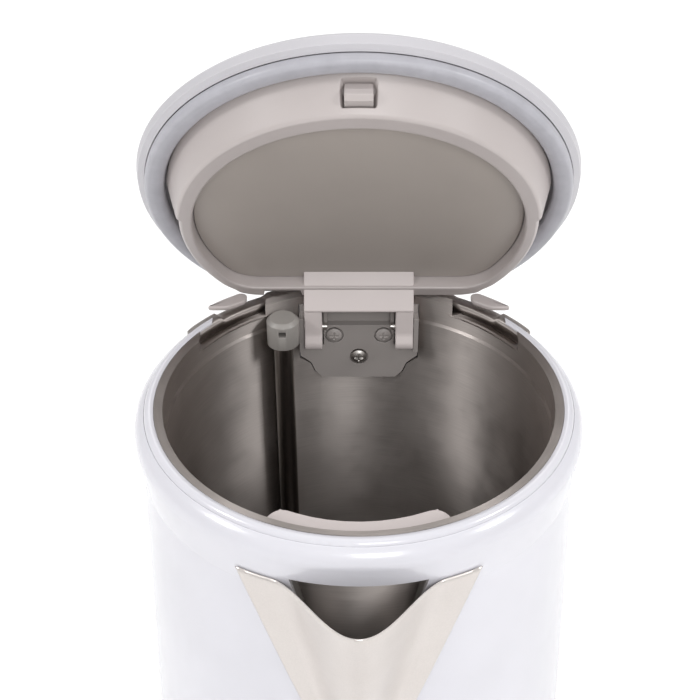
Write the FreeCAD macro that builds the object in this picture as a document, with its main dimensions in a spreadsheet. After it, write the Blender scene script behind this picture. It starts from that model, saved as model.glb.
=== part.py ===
import FreeCAD, Part

import math
import os

import Sketcher

# Electric kettle with a double wall, a steel beak and a sprung lid, standing on its power base.
# Millimetres, +Z up. The origin is the centre of the base where it meets the table, on the
# axis of the kettle. The beak points to -Y and the handle to +Y. The lid stands open.

doc = FreeCAD.newDocument("kettle")
sheet = doc.addObject("Spreadsheet::Sheet", "Sizes")

# ---------------------------------------------------------------- driving dimensions
DIMENSIONS = {
    # the kettle's body
    "rim_height": 224.0,         # table to the rim of the kettle
    "rim_radius": 61.5,          # edge of the steel rim
    "throat_radius": 58.9,       # steel band just inside the rim
    "throat_depth": 9.5,         # height of that band
    "liner_radius": 58.2,        # inside of the steel liner
    "liner_wall": 0.8,
    "liner_floor": 40.0,         # table to the inside floor
    "liner_corner": 8.0,
    "shoulder_radius": 67.5,     # widest part of the shoulder below the rim
    "neck_radius": 66.0,         # top of the straight wall
    "neck_drop": 20.0,           # rim to the top of the straight wall
    "shell_foot_radius": 71.3,
    "shell_foot_height": 30.0,
    "shell_wall": 1.6,
    "collar_radius": 64.5,
    "collar_depth": 6.0,
    # the power base
    "base_radius": 76.0,
    "base_height": 18.0,
    "base_wall": 2.0,
    "foot_radius": 6.0,
    "foot_height": 1.6,
    "foot_circle": 58.0,
    "hub_radius": 16.5,
    "hub_rise": 6.5,             # height of the contact hub above the base
    "seat_gap": 0.2,             # kettle to base
    "gland_bore": 2.6,           # radius of the way through the cord's gland
    "running_gap": 0.5,          # round the hub
    # the lid, given in its shut place
    "lid_radius": 68.5,
    "lid_seat": 4.0,             # rim to the lower edge of the lid
    "lid_crown": 14.5,           # rim to the top of the lid
    "lid_wall": 1.8,
    "lid_chord": 47.5,           # axis to the straight rear edge of the lid
    "lid_open_angle": 64.0,
    "seal_outer": 65.8,
    "seal_inner": 59.5,
    "plug_top_radius": 59.2,
    "plug_radius": 55.8,
    "plug_shift": 3.8,           # lower edge of the plug is off centre by this
    "plug_depth": 7.2,           # rim to the lower edge of the plug
    "plug_chord": 42.8,
    "plug_wall": 1.6,
    "plug_corner": 17.0,         # rounding of the plug's two rear corners
    "slot_inner": 31.0,          # slots in the liner's rim for those corners
    "slot_outer": 51.0,
    "slot_front": 27.0,
    "slot_depth": 4.7,
    "recess_radius": 50.0,
    "recess_chord": 37.6,
    "recess_depth": 5.0,
    "bolt_reach": 57.2,          # axis to the tip of the latch bolt
    # the cover behind the lid
    "wing_inner": 43.8,          # axis to the near side of each wing
    "wing_outer": 49.2,
    "wing_rise": 1.6,            # top of the wings above the rim
    "wing_step": 1.2,            # thickness cut from the bar where the corners swing
    # the hinge
    "hinge_setback": 54.6,       # axis of the kettle to the hinge pin
    "hinge_drop": 12.0,          # rim to the hinge pin
    "arm_half_width": 18.2,
    "arm_gap_half": 12.3,        # half of the gap between the two legs
    "arm_run": 13.6,             # length of the arm inside the plug's recess
    "pin_radius": 1.3,
    "pin_play": 0.2,
    "bracket_half_width": 20.0,
    "bracket_face": 55.6,
    "bracket_back": 60.9,
    # the spout
    "beak_half_width": 33.6,
    "beak_drop": 14.5,           # rim to the lip of the beak
    "beak_length": 80.0,         # height of the V
    "beak_reach": 17.7,          # lip in front of the wall
    "beak_wall": 0.9,
    "mouth_half_width": 19.0,    # opening in the outer wall behind the beak
    "mouth_depth": 58.0,
    "strainer_hole": 1.6,        # radius
    # the filter behind the beak
    "filter_inner": 45.5,
    "filter_outer": 57.8,
    "filter_half_angle": 31.0,
    "filter_drop": 9.4,
    "filter_depth": 40.0,
    # the steam tube
    "tube_radius": 3.3,
    "tube_bore": 2.5,
    "tube_offset": 25.2,
    "tube_setback": 47.4,
    "cap_radius": 5.4,
    "cap_drop": 3.6,
    "cap_length": 9.8,
    # the handle
    "handle_reach": 114.0,       # axis to the outer face of the grip
    "handle_half_width": 13.0,
    "handle_thickness": 19.0,
    "handle_top_drop": 20.0,
    "handle_foot_height": 62.0,
    "handle_bend_share": 0.61,   # bends over the length of the upper leg
    "handle_wall": 2.2,
    # the power lever
    "lever_half_width": 8.0,
    "lever_setback": 66.0,
    "lever_height": 38.5,
    "lever_length": 24.0,
    "lever_pin_radius": 1.3,
}

for row, (alias, number) in enumerate(DIMENSIONS.items(), start=1):
    sheet.set("A%d" % row, alias)
    sheet.set("B%d" % row, str(number))
    sheet.setAlias("B%d" % row, alias)
doc.recompute()


class Size:
    """A length that carries its formula for the document and its present value."""

    def __init__(self, text, value):
        self.text = text
        self.value = value

    @staticmethod
    def of(other):
        if isinstance(other, Size):
            return other
        return Size("(%s)" % repr(float(other)), float(other))

    def _join(self, other, sign, value):
        return Size("(%s %s %s)" % (self.text, sign, other.text), value)

    def __add__(self, other):
        other = Size.of(other)
        return self._join(other, "+", self.value + other.value)

    def __sub__(self, other):
        other = Size.of(other)
        return self._join(other, "-", self.value - other.value)

    def __mul__(self, other):
        other = Size.of(other)
        return self._join(other, "*", self.value * other.value)

    def __truediv__(self, other):
        other = Size.of(other)
        return self._join(other, "/", self.value / other.value)

    def __neg__(self):
        return Size("(0 - %s)" % self.text, -self.value)

    __radd__ = __add__
    __rmul__ = __mul__

    def __rsub__(self, other):
        return Size.of(other) - self


class Sizes:
    """Every dimension of the sheet as a Size of the same name."""

    def __init__(self):
        for name in DIMENSIONS:
            setattr(self, name, Size("Sizes.%s" % name, float(sheet.get(name))))


s = Sizes()
ZERO = Size.of(0)


# ---------------------------------------------------------------- small builders
def name_it(obj, label):
    obj.Label = label
    return obj


def bind(obj, **values):
    for prop, size in values.items():
        obj.setExpression(prop, Size.of(size).text)
    return obj


def place(obj, x, y, z, rotation=None):
    if rotation is not None:
        obj.Placement = FreeCAD.Placement(FreeCAD.Vector(0, 0, 0), rotation)
    for axis, size in (("x", x), ("y", y), ("z", z)):
        obj.setExpression("Placement.Base." + axis, Size.of(size).text)
    return obj


ALONG_X = FreeCAD.Rotation(FreeCAD.Vector(0, 1, 0), 90)
ALONG_Y = FreeCAD.Rotation(FreeCAD.Vector(1, 0, 0), -90)


def box(name, x0, x1, y0, y1, z0, z1):
    """A box between two corners."""
    low = [Size.of(v) for v in (x0, y0, z0)]
    high = [Size.of(v) for v in (x1, y1, z1)]
    obj = doc.addObject("Part::Box", name)
    bind(obj, Length=high[0] - low[0], Width=high[1] - low[1], Height=high[2] - low[2])
    return place(obj, *low)


def wide_box(name, half_width, y0, y1, z0, z1):
    """A box that is symmetrical about the plane X = 0."""
    return box(name, -Size.of(half_width), half_width, y0, y1, z0, z1)


def cylinder(name, radius, height, x, y, z, rotation=None):
    obj = doc.addObject("Part::Cylinder", name)
    bind(obj, Radius=radius, Height=height)
    return place(obj, x, y, z, rotation)


def cone(name, low_radius, high_radius, height, x, y, z):
    obj = doc.addObject("Part::Cone", name)
    bind(obj, Radius1=low_radius, Radius2=high_radius, Height=height)
    return place(obj, x, y, z)


def fuse(name, *pieces):
    if len(pieces) == 1:
        return pieces[0]
    obj = doc.addObject("Part::MultiFuse", name)
    obj.Shapes = list(pieces)
    obj.Refine = True
    return obj


def group(name, *pieces):
    """Separate solids that share one node."""
    obj = doc.addObject("Part::Compound", name)
    obj.Links = list(pieces)
    return obj


def cut(name, base, *tools):
    obj = doc.addObject("Part::Cut", name)
    obj.Base = base
    obj.Tool = fuse(name + "_tools", *tools)
    obj.Refine = True
    return obj


def common(name, *pieces):
    obj = doc.addObject("Part::MultiCommon", name)
    obj.Shapes = list(pieces)
    obj.Refine = True
    return obj


def plane_of(body, role):
    for feature in body.Origin.OriginFeatures:
        if feature.Role == role:
            return feature
    raise LookupError(role)


def pin_point(sketch, geometry, position, u, v):
    """Hold one sketch point at (u, v) from the sketch's origin."""
    for kind, size in (("DistanceX", u), ("DistanceY", v)):
        if abs(size.value) < 1e-9:
            other = -2 if kind == "DistanceX" else -1
            sketch.addConstraint(Sketcher.Constraint("PointOnObject", geometry, position, other))
            continue
        index = sketch.addConstraint(
            Sketcher.Constraint(kind, -1, 1, geometry, position, size.value))
        sketch.setExpression("Constraints[%d]" % index, size.text)


def outline_sketch(body, role, points, rise=ZERO):
    """A closed outline. A point with four values ends an arc that passes (via_u, via_v)."""
    sketch = body.newObject("Sketcher::SketchObject", body.Name + "_outline")
    sketch.AttachmentSupport = [(plane_of(body, role), "")]
    sketch.MapMode = "FlatFace"
    if rise is not ZERO:
        sketch.setExpression("AttachmentOffset.Base.z", rise.text)
    corners = [tuple(Size.of(v) for v in point) for point in points]
    lines = []
    for index, corner in enumerate(corners):
        before = corners[index - 1]
        start = FreeCAD.Vector(before[0].value, before[1].value, 0)
        end = FreeCAD.Vector(corner[0].value, corner[1].value, 0)
        if len(corner) == 4:
            via = FreeCAD.Vector(corner[2].value, corner[3].value, 0)
            arc = sketch.addGeometry(Part.Arc(start, via, end), False)
            clockwise = (start - end).cross(via - end).z < 0
            lines.append((arc, 2, 1) if clockwise else (arc, 1, 2))
            middle = sketch.addGeometry(Part.Point(via), True)
            pin_point(sketch, middle, 1, corner[2], corner[3])
            sketch.addConstraint(Sketcher.Constraint("PointOnObject", middle, 1, arc))
        else:
            lines.append((sketch.addGeometry(Part.LineSegment(start, end), False), 1, 2))
    for index, (line, first, last) in enumerate(lines):
        following = lines[(index + 1) % len(lines)]
        sketch.addConstraint(
            Sketcher.Constraint("Coincident", line, last, following[0], following[1]))
        pin_point(sketch, line, last, corners[index][0], corners[index][1])
    return sketch


def turned(name, points):
    """A solid turned about the Z axis from an outline of (radius, height) points."""
    body = doc.addObject("PartDesign::Body", name)
    sketch = outline_sketch(body, "XZ_Plane", points)
    feature = body.newObject("PartDesign::Revolution", name + "_turn")
    feature.Profile = sketch
    feature.ReferenceAxis = (sketch, ["V_Axis"])
    feature.Angle = 360.0
    body.Tip = feature
    return body


def padded(name, role, points, length, rise=ZERO):
    """A prism: an outline on one of the main planes, pushed out along the plane's normal."""
    body = doc.addObject("PartDesign::Body", name)
    sketch = outline_sketch(body, role, points, rise)
    feature = body.newObject("PartDesign::Pad", name + "_pad")
    feature.Profile = sketch
    feature.setExpression("Length", Size.of(length).text)
    body.Tip = feature
    return body


def moulded(name, shape):
    """A piece whose shape is worked out by a function of its own."""
    obj = doc.addObject("Part::Feature", name)
    obj.Shape = shape
    return obj


def sector(name, inner, outer, half_angle, z0, z1, towards_front=True):
    """Part of a ring, centred on the front or the rear."""
    start = -90.0 if towards_front else 90.0
    wedges = []
    for part, radius in (("out", outer), ("in", inner)):
        wedge = doc.addObject("Part::Cylinder", "%s_%s" % (name, part))
        bind(wedge, Radius=radius, Height=z1 - z0, Angle=half_angle * 2)
        turn = "rotation(vector(0; 0; 1); %s - %s)" % (start, half_angle.text)
        wedge.setExpression("Placement", "placement(vector(0; 0; %s); %s)" % (z0.text, turn))
        wedges.append(wedge)
    return cut(name, *wedges)


rim = s.rim_height


# ---------------------------------------------------------------- power base
def power_base():
    wall = s.base_wall
    top = s.base_height
    edge = s.base_radius
    lift = s.foot_height
    hole = s.hub_radius + 1.0
    cover = turned("base_cover_turned", [
        (hole, top - wall), (hole, top), (edge - 4.0, top),
        (edge, top - 5.0, edge - 1.2, top - 1.5), (edge, lift + 0.4), (edge - wall, lift + 0.4),
        (edge - wall, top - 5.4), (edge - 4.6, top - wall, edge - wall - 0.9, top - wall - 1.0)])
    # notch at the rear for the cord's gland
    gland_height = lift + 7.6
    gland_start = edge - wall - 2.4
    notch = cylinder("gland_notch", 4.2, wall * 3, 0, edge - wall * 2, gland_height, ALONG_Y)
    name_it(cut("base_cover_notched", cover, notch), "base_cover")

    plate = turned("base_plate_disc", [
        (ZERO, lift + 0.4), (ZERO, lift + 2.4), (edge - wall - 0.4, lift + 2.4),
        (edge - wall - 0.4, lift + 0.4)])
    pockets = []
    screws = []
    feet = []
    for index in range(3):
        angle = math.radians(90 + 120 * index)
        x = s.foot_circle * math.cos(angle)
        y = s.foot_circle * math.sin(angle)
        pockets.append(cylinder("foot_pocket_%d" % index, s.foot_radius + 0.2, 1.2, x, y,
                                lift + 0.4))
        feet.append(cylinder("foot_%d" % index, s.foot_radius, lift + 1.6, x, y, ZERO))
        turn = angle + math.radians(60)
        across = s.foot_circle * 0.72
        sx = across * math.cos(turn)
        sy = across * math.sin(turn)
        pockets.append(cylinder("screw_hole_%d" % index, 1.6, 4.0, sx, sy, lift))
        head = cylinder("screw_head_%d" % index, 3.0, 1.0, sx, sy, lift - 0.6)
        stem = cylinder("screw_stem_%d" % index, 1.3, top - wall - lift - 1.0, sx, sy, lift)
        screws.append(fuse("base_screw_%d" % index, head, stem))
    name_it(cut("base_plate_drilled", plate, *pockets), "base_plate")
    name_it(group("base_feet_group", *feet), "base_feet")
    name_it(group("base_screws_group", *screws), "base_screws")

    # the hub with its contact rings
    r = s.hub_radius
    hub_top = top + s.hub_rise
    hub = turned("hub_turned", [
        (ZERO, lift + 2.4), (ZERO, top - 3.0), (4.2, top - 3.0), (4.2, hub_top - 1.0),
        (5.2, hub_top), (8.0, hub_top), (8.0, hub_top - 4.5), (9.6, hub_top - 4.5),
        (9.6, hub_top), (12.0, hub_top), (12.0, hub_top - 4.5), (13.4, hub_top - 4.5),
        (13.4, hub_top), (r - 1.2, hub_top), (r, hub_top - 1.2), (r, top - wall),
        (r + 4.0, top - wall), (r + 4.0, top - wall - 2.0), (r, top - wall - 2.0),
        (r, lift + 2.4)])
    name_it(hub, "base_hub")
    contact = turned("hub_contact_ring", [
        (8.2, hub_top - 4.5), (8.2, hub_top - 0.8), (9.4, hub_top - 0.8), (9.4, hub_top - 4.5)])
    outer_contact = turned("hub_earth_ring", [
        (12.2, hub_top - 4.5), (12.2, hub_top - 0.8), (13.2, hub_top - 0.8),
        (13.2, hub_top - 4.5)])
    name_it(group("hub_contacts_group", contact, outer_contact), "hub_contacts")

    # gland where a cord would leave the base
    tube = cylinder("gland_tube", 4.2, wall + 5.0, 0, gland_start, gland_height, ALONG_Y)
    collar = cylinder("gland_collar", 4.9, 1.4, 0, gland_start, gland_height, ALONG_Y)
    bore = cylinder("gland_bore", s.gland_bore, wall + 8.0, 0, gland_start - 1.0, gland_height,
                    ALONG_Y)
    sleeve = fuse("gland_solid", tube, collar)
    name_it(cut("cord_gland_bored", sleeve, bore), "cord_gland")


# ---------------------------------------------------------------- coupler under the kettle
def coupler():
    low = s.base_height + s.seat_gap + 0.6
    roof = s.base_height + s.hub_rise + 0.8
    inner = s.hub_radius + s.running_gap
    wall = 2.6
    thick = 3.0
    probe = 3.6
    body = turned("coupler_turned", [
        (ZERO, low + 1.0), (ZERO, roof + thick), (inner + wall, roof + thick),
        (inner + wall, low), (inner, low), (inner, roof), (probe, roof), (probe, low + 1.0)])
    name_it(body, "kettle_coupler")


# ---------------------------------------------------------------- walls of the kettle
def shell_outer_points(top_inset=ZERO):
    """Outside of the outer wall from its foot to its top edge."""
    return [
        (s.shell_foot_radius - top_inset, s.shell_foot_height),
        (s.neck_radius - top_inset, rim - s.neck_drop),
        (s.shoulder_radius - top_inset, rim - 8.0,
         s.neck_radius + 0.9 - top_inset, rim - 13.5),
        (s.collar_radius + 0.1, rim - 1.4, s.shoulder_radius - 0.75, rim - 3.6),
    ]


def filled_shell(name):
    """The outer wall's envelope as one solid, used to trim what is joined to it."""
    outside = shell_outer_points()
    return turned(name, [(ZERO, s.shell_foot_height)] + outside + [(ZERO, rim - 1.4)])


def walls():
    wall = s.shell_wall
    foot = s.shell_foot_height
    outside = shell_outer_points()
    inside = [
        (s.collar_radius + 0.1, rim - s.collar_depth - 1.0),
        (s.neck_radius - wall, rim - s.neck_drop),
        (s.shell_foot_radius - wall, foot),
    ]
    shell = turned("shell_turned", outside + inside)
    # the mouth behind the beak narrows downwards like the beak
    mouth_top = rim - s.beak_drop + 1.0
    mouth = padded("mouth_cutter", "XZ_Plane", [
        (-s.mouth_half_width, mouth_top), (s.mouth_half_width, mouth_top),
        (s.mouth_half_width * 0.25, mouth_top - s.mouth_depth),
        (-s.mouth_half_width * 0.25, mouth_top - s.mouth_depth)], s.shoulder_radius + 10.0)
    slot = wide_box("lever_slot", s.lever_half_width + 0.6, s.shell_foot_radius - 8.0,
                    s.shell_foot_radius + 4.0, s.lever_height - 6.4, s.lever_height + 6.4)
    name_it(cut("outer_shell_cut", shell, mouth, slot), "outer_shell")

    collar = turned("collar_turned", [
        (s.rim_radius + 0.1, rim - s.collar_depth), (s.rim_radius + 0.1, rim - 0.3),
        (s.collar_radius, rim - 1.4, s.collar_radius - 1.1, rim - 0.05),
        (s.collar_radius, rim - s.collar_depth)])
    rear = wide_box("collar_relief", 47.6, s.liner_radius * 0.5, s.collar_radius + 4.0,
                    rim - s.slot_depth - 0.3, rim + 1.0)
    name_it(cut("top_collar_cut", collar, rear), "top_collar")

    t = s.liner_wall
    throat = s.throat_radius
    bore = s.liner_radius
    bend = s.liner_corner
    floor = s.liner_floor
    low = rim - s.throat_depth
    inner_mid = bend * (1.0 - math.sqrt(0.5))
    liner = turned("liner_turned", [
        (ZERO, floor), (bore - bend, floor),
        (bore, floor + bend, bore - inner_mid, floor + inner_mid),
        (bore, low - 0.8), (throat, low), (throat, rim - 0.8), (s.rim_radius, rim - 0.2),
        (s.rim_radius, rim - 1.1), (throat + t, rim - 1.7), (throat + t, low - 0.3),
        (bore + t, low - 1.1), (bore + t, floor + bend),
        (bore - bend, floor - t, bore + t - inner_mid - t * 0.3, floor + inner_mid - t * 0.7),
        (ZERO, floor - t)])
    holes = [bracket_outline("bracket_window", 0.3, s.liner_radius * 0.5, s.neck_radius)]
    holes.append(cylinder("tube_hole", s.tube_radius + 0.05, 10.0, -s.tube_offset,
                          s.tube_setback, floor - 5.0))
    holes.extend(strainer_holes())
    # slots that the rear corners of the plug swing through
    for side in (-1, 1):
        word = "left" if side < 0 else "right"
        edges = sorted((s.slot_inner * side, s.slot_outer * side), key=lambda size: size.value)
        holes.append(box("corner_slot_" + word, edges[0], edges[1], s.slot_front,
                         s.shoulder_radius, rim - s.slot_depth, rim + 1.0))
    name_it(cut("inner_liner_cut", liner, *holes), "inner_liner")


def strainer_holes():
    """Rows of round holes through the liner behind the beak, fewer in each lower row."""
    holes = []
    pitch = 4.2
    first_row = rim - s.beak_drop - 35.0
    for row in range(5):
        count = 5 - row
        for column in range(count):
            across = (column - (count - 1) / 2.0) * pitch
            hole = cylinder("strainer_%d_%d" % (row, column), s.strainer_hole, 20.0,
                            across, -s.liner_radius - 10.0, first_row - row * pitch, ALONG_Y)
            holes.append(hole)
    return holes


# ---------------------------------------------------------------- bottom of the kettle
def underside():
    low = s.base_height + s.seat_gap
    foot = s.shell_foot_height
    edge = s.shell_foot_radius
    bore = s.hub_radius + s.running_gap + 3.0
    cover = turned("bottom_turned", [
        (bore, low + 1.6), (bore, low + 3.6), (edge - 6.0, low + 3.6),
        (edge - 3.6, foot - 3.0), (edge - s.shell_wall - 0.4, foot - 0.05),
        (edge - 0.3, foot - 0.05),
        (edge - 1.6, low, edge - 0.2, low + 4.0), (edge - 4.6, low), (edge - 6.0, low + 1.6)])
    screws = []
    holes = []
    across = s.shell_foot_radius * 0.78
    for index in range(4):
        angle = math.radians(45 + 90 * index)
        x = across * math.cos(angle)
        y = across * math.sin(angle)
        holes.append(cylinder("cover_hole_%d" % index, 1.7, 6.0, x, y, low))
        head = cylinder("cover_head_%d" % index, 2.8, 1.2, x, y, low + 0.4)
        stem = cylinder("cover_stem_%d" % index, 1.4, 10.0, x, y, low + 0.6)
        screws.append(fuse("cover_screw_%d" % index, head, stem))
    ears = []
    for side in (-1, 1):
        word = "left" if side < 0 else "right"
        edges = sorted(((s.lever_half_width + 1.3) * side, (s.lever_half_width + 3.2) * side),
                       key=lambda size: size.value)
        ears.append(box("lever_ear_" + word, edges[0], edges[1], s.lever_setback - 3.0,
                        s.lever_setback + 2.0, low + 2.4, s.lever_height + 2.6))
    holes.append(cylinder("ear_bore", s.lever_pin_radius, s.lever_half_width * 2 + 8.0,
                          -s.lever_half_width - 4.0, s.lever_setback, s.lever_height, ALONG_X))
    solid = fuse("bottom_solid", cover, *ears)
    name_it(cut("bottom_cover_drilled", solid, *holes), "bottom_cover")
    name_it(group("cover_screws_group", *screws), "cover_screws")

    floor = s.liner_floor - s.liner_wall
    plate = cylinder("heater_disc", s.liner_radius - s.liner_corner - 4.0, 2.0, 0, 0, floor - 2.0)
    plate_hole = cylinder("heater_bore", 4.0, 4.0, 0, 0, floor - 3.0)
    name_it(cut("heater_plate_bored", plate, plate_hole), "heater_plate")
    ring = doc.addObject("Part::Torus", "heater_ring_torus")
    bind(ring, Radius1=s.liner_radius - s.liner_corner - 14.0, Radius2=Size.of(2.6))
    place(ring, 0, 0, floor - 4.65)
    name_it(ring, "heater_ring")
    roof = s.base_height + s.hub_rise + 0.8 + 3.0
    control = turned("control_turned", [
        (ZERO, roof + 0.5), (ZERO, floor - 2.05), (28.0, floor - 2.05), (28.0, low + 3.7),
        (bore + 0.4, low + 3.7), (bore + 0.4, roof + 0.5)])
    name_it(control, "control_unit")


# ---------------------------------------------------------------- beak
def beak_wave(share):
    """Pouring channel across the V: 1 in the middle, 0 from the shoulders outwards."""
    near = min(abs(share) / 0.72, 1.0)
    return 0.5 * (1.0 + math.cos(math.pi * near))


def wall_radius_at(height):
    """Outside radius of the outer wall below the shoulder."""
    top = s.rim_height.value - s.neck_drop.value
    foot = s.shell_foot_height.value
    share = (top - height) / (top - foot)
    grown = s.neck_radius.value + share * (s.shell_foot_radius.value - s.neck_radius.value)
    return grown


def beak_section(level, thickness, steps=24):
    """Closed outline of the V plate at one level: level 0 is the lip, 1 the lower tip."""
    height = s.rim_height.value - s.beak_drop.value - level * s.beak_length.value
    half = s.beak_half_width.value * (1.0 - level) + 3.0 * level
    reach = s.beak_reach.value * (1.0 - level)
    base = wall_radius_at(height) + 0.45
    if level == 0.0:
        base = base + 0.45
    front = []
    back = []
    for index in range(steps + 1):
        share = -1.0 + 2.0 * index / steps
        x = half * share
        y = -math.sqrt(base * base - x * x) - reach * beak_wave(share)
        back.append(FreeCAD.Vector(x, y, height))
        front.append(FreeCAD.Vector(x, y - thickness, height))
    curve_front = Part.BSplineCurve()
    curve_front.interpolate(front)
    curve_back = Part.BSplineCurve()
    curve_back.interpolate(list(reversed(back)))
    edges = [curve_front.toShape(), Part.makeLine(front[-1], back[-1]), curve_back.toShape(),
             Part.makeLine(back[0], front[0])]
    return Part.Wire(edges)


def beak():
    wires = [beak_section(level, s.beak_wall.value) for level in (0.0, 0.25, 0.5, 0.75, 1.0)]
    plate = Part.makeLoft(wires, True, True)
    name_it(moulded("beak_loft", plate), "spout_beak")


def spout_lining():
    """Plastic duct between the liner and the outer wall round the mouth."""
    top = rim - s.beak_drop + 1.0
    low = top - s.mouth_depth
    near = s.liner_radius + s.liner_wall + 0.1
    deep = s.neck_radius - s.shell_wall
    outer = padded("duct_outer", "XZ_Plane", [
        (-s.mouth_half_width - 2.0, top + 2.0), (s.mouth_half_width + 2.0, top + 2.0),
        (s.mouth_half_width * 0.25 + 2.0, low - 2.0),
        (-s.mouth_half_width * 0.25 - 2.0, low - 2.0)], s.shoulder_radius)
    inner = padded("duct_inner", "XZ_Plane", [
        (-s.mouth_half_width, top), (s.mouth_half_width, top),
        (s.mouth_half_width * 0.25, low), (-s.mouth_half_width * 0.25, low)],
        s.shoulder_radius + 1.0)
    ring = turned("duct_ring", [
        (near, low - 4.0), (near, rim - s.beak_drop + 4.0), (deep - 0.1, rim - s.beak_drop + 4.0),
        (deep - 0.1, low - 4.0)])
    frame = cut("duct_frame", outer, inner)
    name_it(common("spout_duct_trimmed", frame, ring), "spout_duct")


# ---------------------------------------------------------------- filter
def strainer():
    top = rim - s.filter_drop
    low = top - s.filter_depth
    inner = s.filter_inner
    outer = s.filter_outer
    half = s.filter_half_angle
    wall = inner + 1.3
    channel = turned("filter_channel", [
        (inner, low), (inner, top), (outer, top), (outer, top - 1.8), (wall, top - 1.8),
        (wall, low + 1.8), (outer, low + 1.8), (outer, low)])
    spread = outer * 1.4
    slant = math.radians(half.value)
    fan = padded("filter_fan", "XY_Plane", [
        (ZERO, ZERO), (-spread * math.sin(slant), -spread * math.cos(slant)),
        (spread * math.sin(slant), -spread * math.cos(slant))], s.filter_depth + 2.0,
        rise=low - 1.0)
    windows = []
    for side in (-1, 1):
        word = "left" if side < 0 else "right"
        edges = sorted((Size.of(1.2) * side, Size.of(20.0) * side), key=lambda size: size.value)
        windows.append(box("filter_window_" + word, edges[0], edges[1], -inner - 6.0,
                           -inner + 12.0, low + 1.8, top - 1.8))
    body = common("filter_slice", channel, fan)
    name_it(cut("filter_frame_cut", body, *windows), "filter_frame")
    mesh = sector("filter_mesh_sheet", inner + 1.35, inner + 1.75, half - 0.6, low + 1.85,
                  top - 1.85)
    name_it(mesh, "filter_mesh")


# ---------------------------------------------------------------- hinge bracket
def bracket_outline(name, grow, y0, y1):
    """The bracket's plate: wide above, a narrower tongue with cut corners below."""
    half = s.bracket_half_width + grow
    tongue = s.bracket_half_width * 0.78 + grow
    top = rim - 3.9 + grow
    shelf = rim - 25.0 - grow
    low = rim - 34.0 - grow
    points = [
        (half, top), (half, shelf), (half - 1.6, shelf - 1.2), (tongue + 0.7, shelf - 3.0),
        (tongue - 0.6, low + 2.6), (tongue - 3.0, low), (3.0 - tongue, low),
        (0.6 - tongue, low + 2.6), (-tongue - 0.7, shelf - 3.0), (1.6 - half, shelf - 1.2),
        (-half, shelf), (-half, top)]
    return padded(name, "XZ_Plane", points, Size.of(y1) - y0, rise=-Size.of(y1))


def hinge_bracket():
    pin_z = rim - s.hinge_drop
    pin_y = s.hinge_setback
    face = s.bracket_face
    back = s.bracket_back
    half = s.bracket_half_width
    plate = bracket_outline("bracket_plate", 0.0, face, face + 2.4)
    housing = wide_box("bracket_housing", half - 0.1, face + 1.0, back, rim - 24.0, rim - 4.2)
    ears = []
    pockets = []
    holes = []
    pins = []
    inner_side = s.arm_gap_half - 0.4
    outer_side = s.arm_half_width + 0.25
    for side in (-1, 1):
        word = "left" if side < 0 else "right"
        edges = sorted((outer_side * side, half * side), key=lambda size: size.value)
        ears.append(box("ear_" + word, edges[0], edges[1], pin_y - 3.8, face + 1.0,
                        pin_z - 8.2, pin_z + 5.2))
        edges = sorted((inner_side * side, outer_side * side), key=lambda size: size.value)
        pockets.append(box("leg_pocket_" + word, edges[0], edges[1], face - 6.0, back - 0.7,
                           pin_z - 8.4, rim))
        start = half * side if side < 0 else s.arm_gap_half - 1.6
        length = half - s.arm_gap_half + 1.6
        holes.append(cylinder("pin_hole_" + word, s.pin_radius, length, start, pin_y, pin_z,
                              ALONG_X))
        pins.append(cylinder("pin_" + word, s.pin_radius, length - 0.2,
                             start if side > 0 else start + 0.2, pin_y, pin_z, ALONG_X))
    recess = wide_box("bracket_recess", s.arm_gap_half - 1.6, face - 1.0, face + 3.0,
                      pin_z - 0.4, pin_z + 7.4)
    screws = []
    for index, (x, z) in enumerate(((-8.4, 16.4), (8.4, 16.4), (0.0, 25.3))):
        seat = rim - z
        pockets.append(cylinder("screw_seat_%d" % index, 3.2, 2.0, x, face - 1.0, seat, ALONG_Y))
        pockets.append(cylinder("screw_way_%d" % index, 1.5, 8.0, x, face - 1.0, seat, ALONG_Y))
        head = cylinder("bracket_head_%d" % index, 2.4, 1.6, x, face - 0.6, seat, ALONG_Y)
        stem = cylinder("bracket_stem_%d" % index, 1.3, 5.0, x, face + 0.6, seat, ALONG_Y)
        screws.append(fuse("bracket_screw_%d" % index, head, stem))
    step = rim - s.collar_depth - 0.1
    under_collar = turned("bracket_step", [
        (s.rim_radius + 0.05, step), (s.rim_radius + 0.05, rim), (s.shoulder_radius, rim),
        (s.shoulder_radius, step)])
    block = fuse("bracket_solid", plate, housing, *ears)
    relief = wide_box("arm_relief", s.arm_gap_half, face - 1.0, face + 1.2, rim - 5.2, rim)
    tools = pockets + holes + [recess, under_collar, relief]
    name_it(cut("hinge_bracket_cut", block, *tools), "hinge_bracket")
    name_it(group("bracket_screws_group", *screws), "bracket_screws")
    name_it(group("hinge_pins_group", *pins), "hinge_pins")


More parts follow.
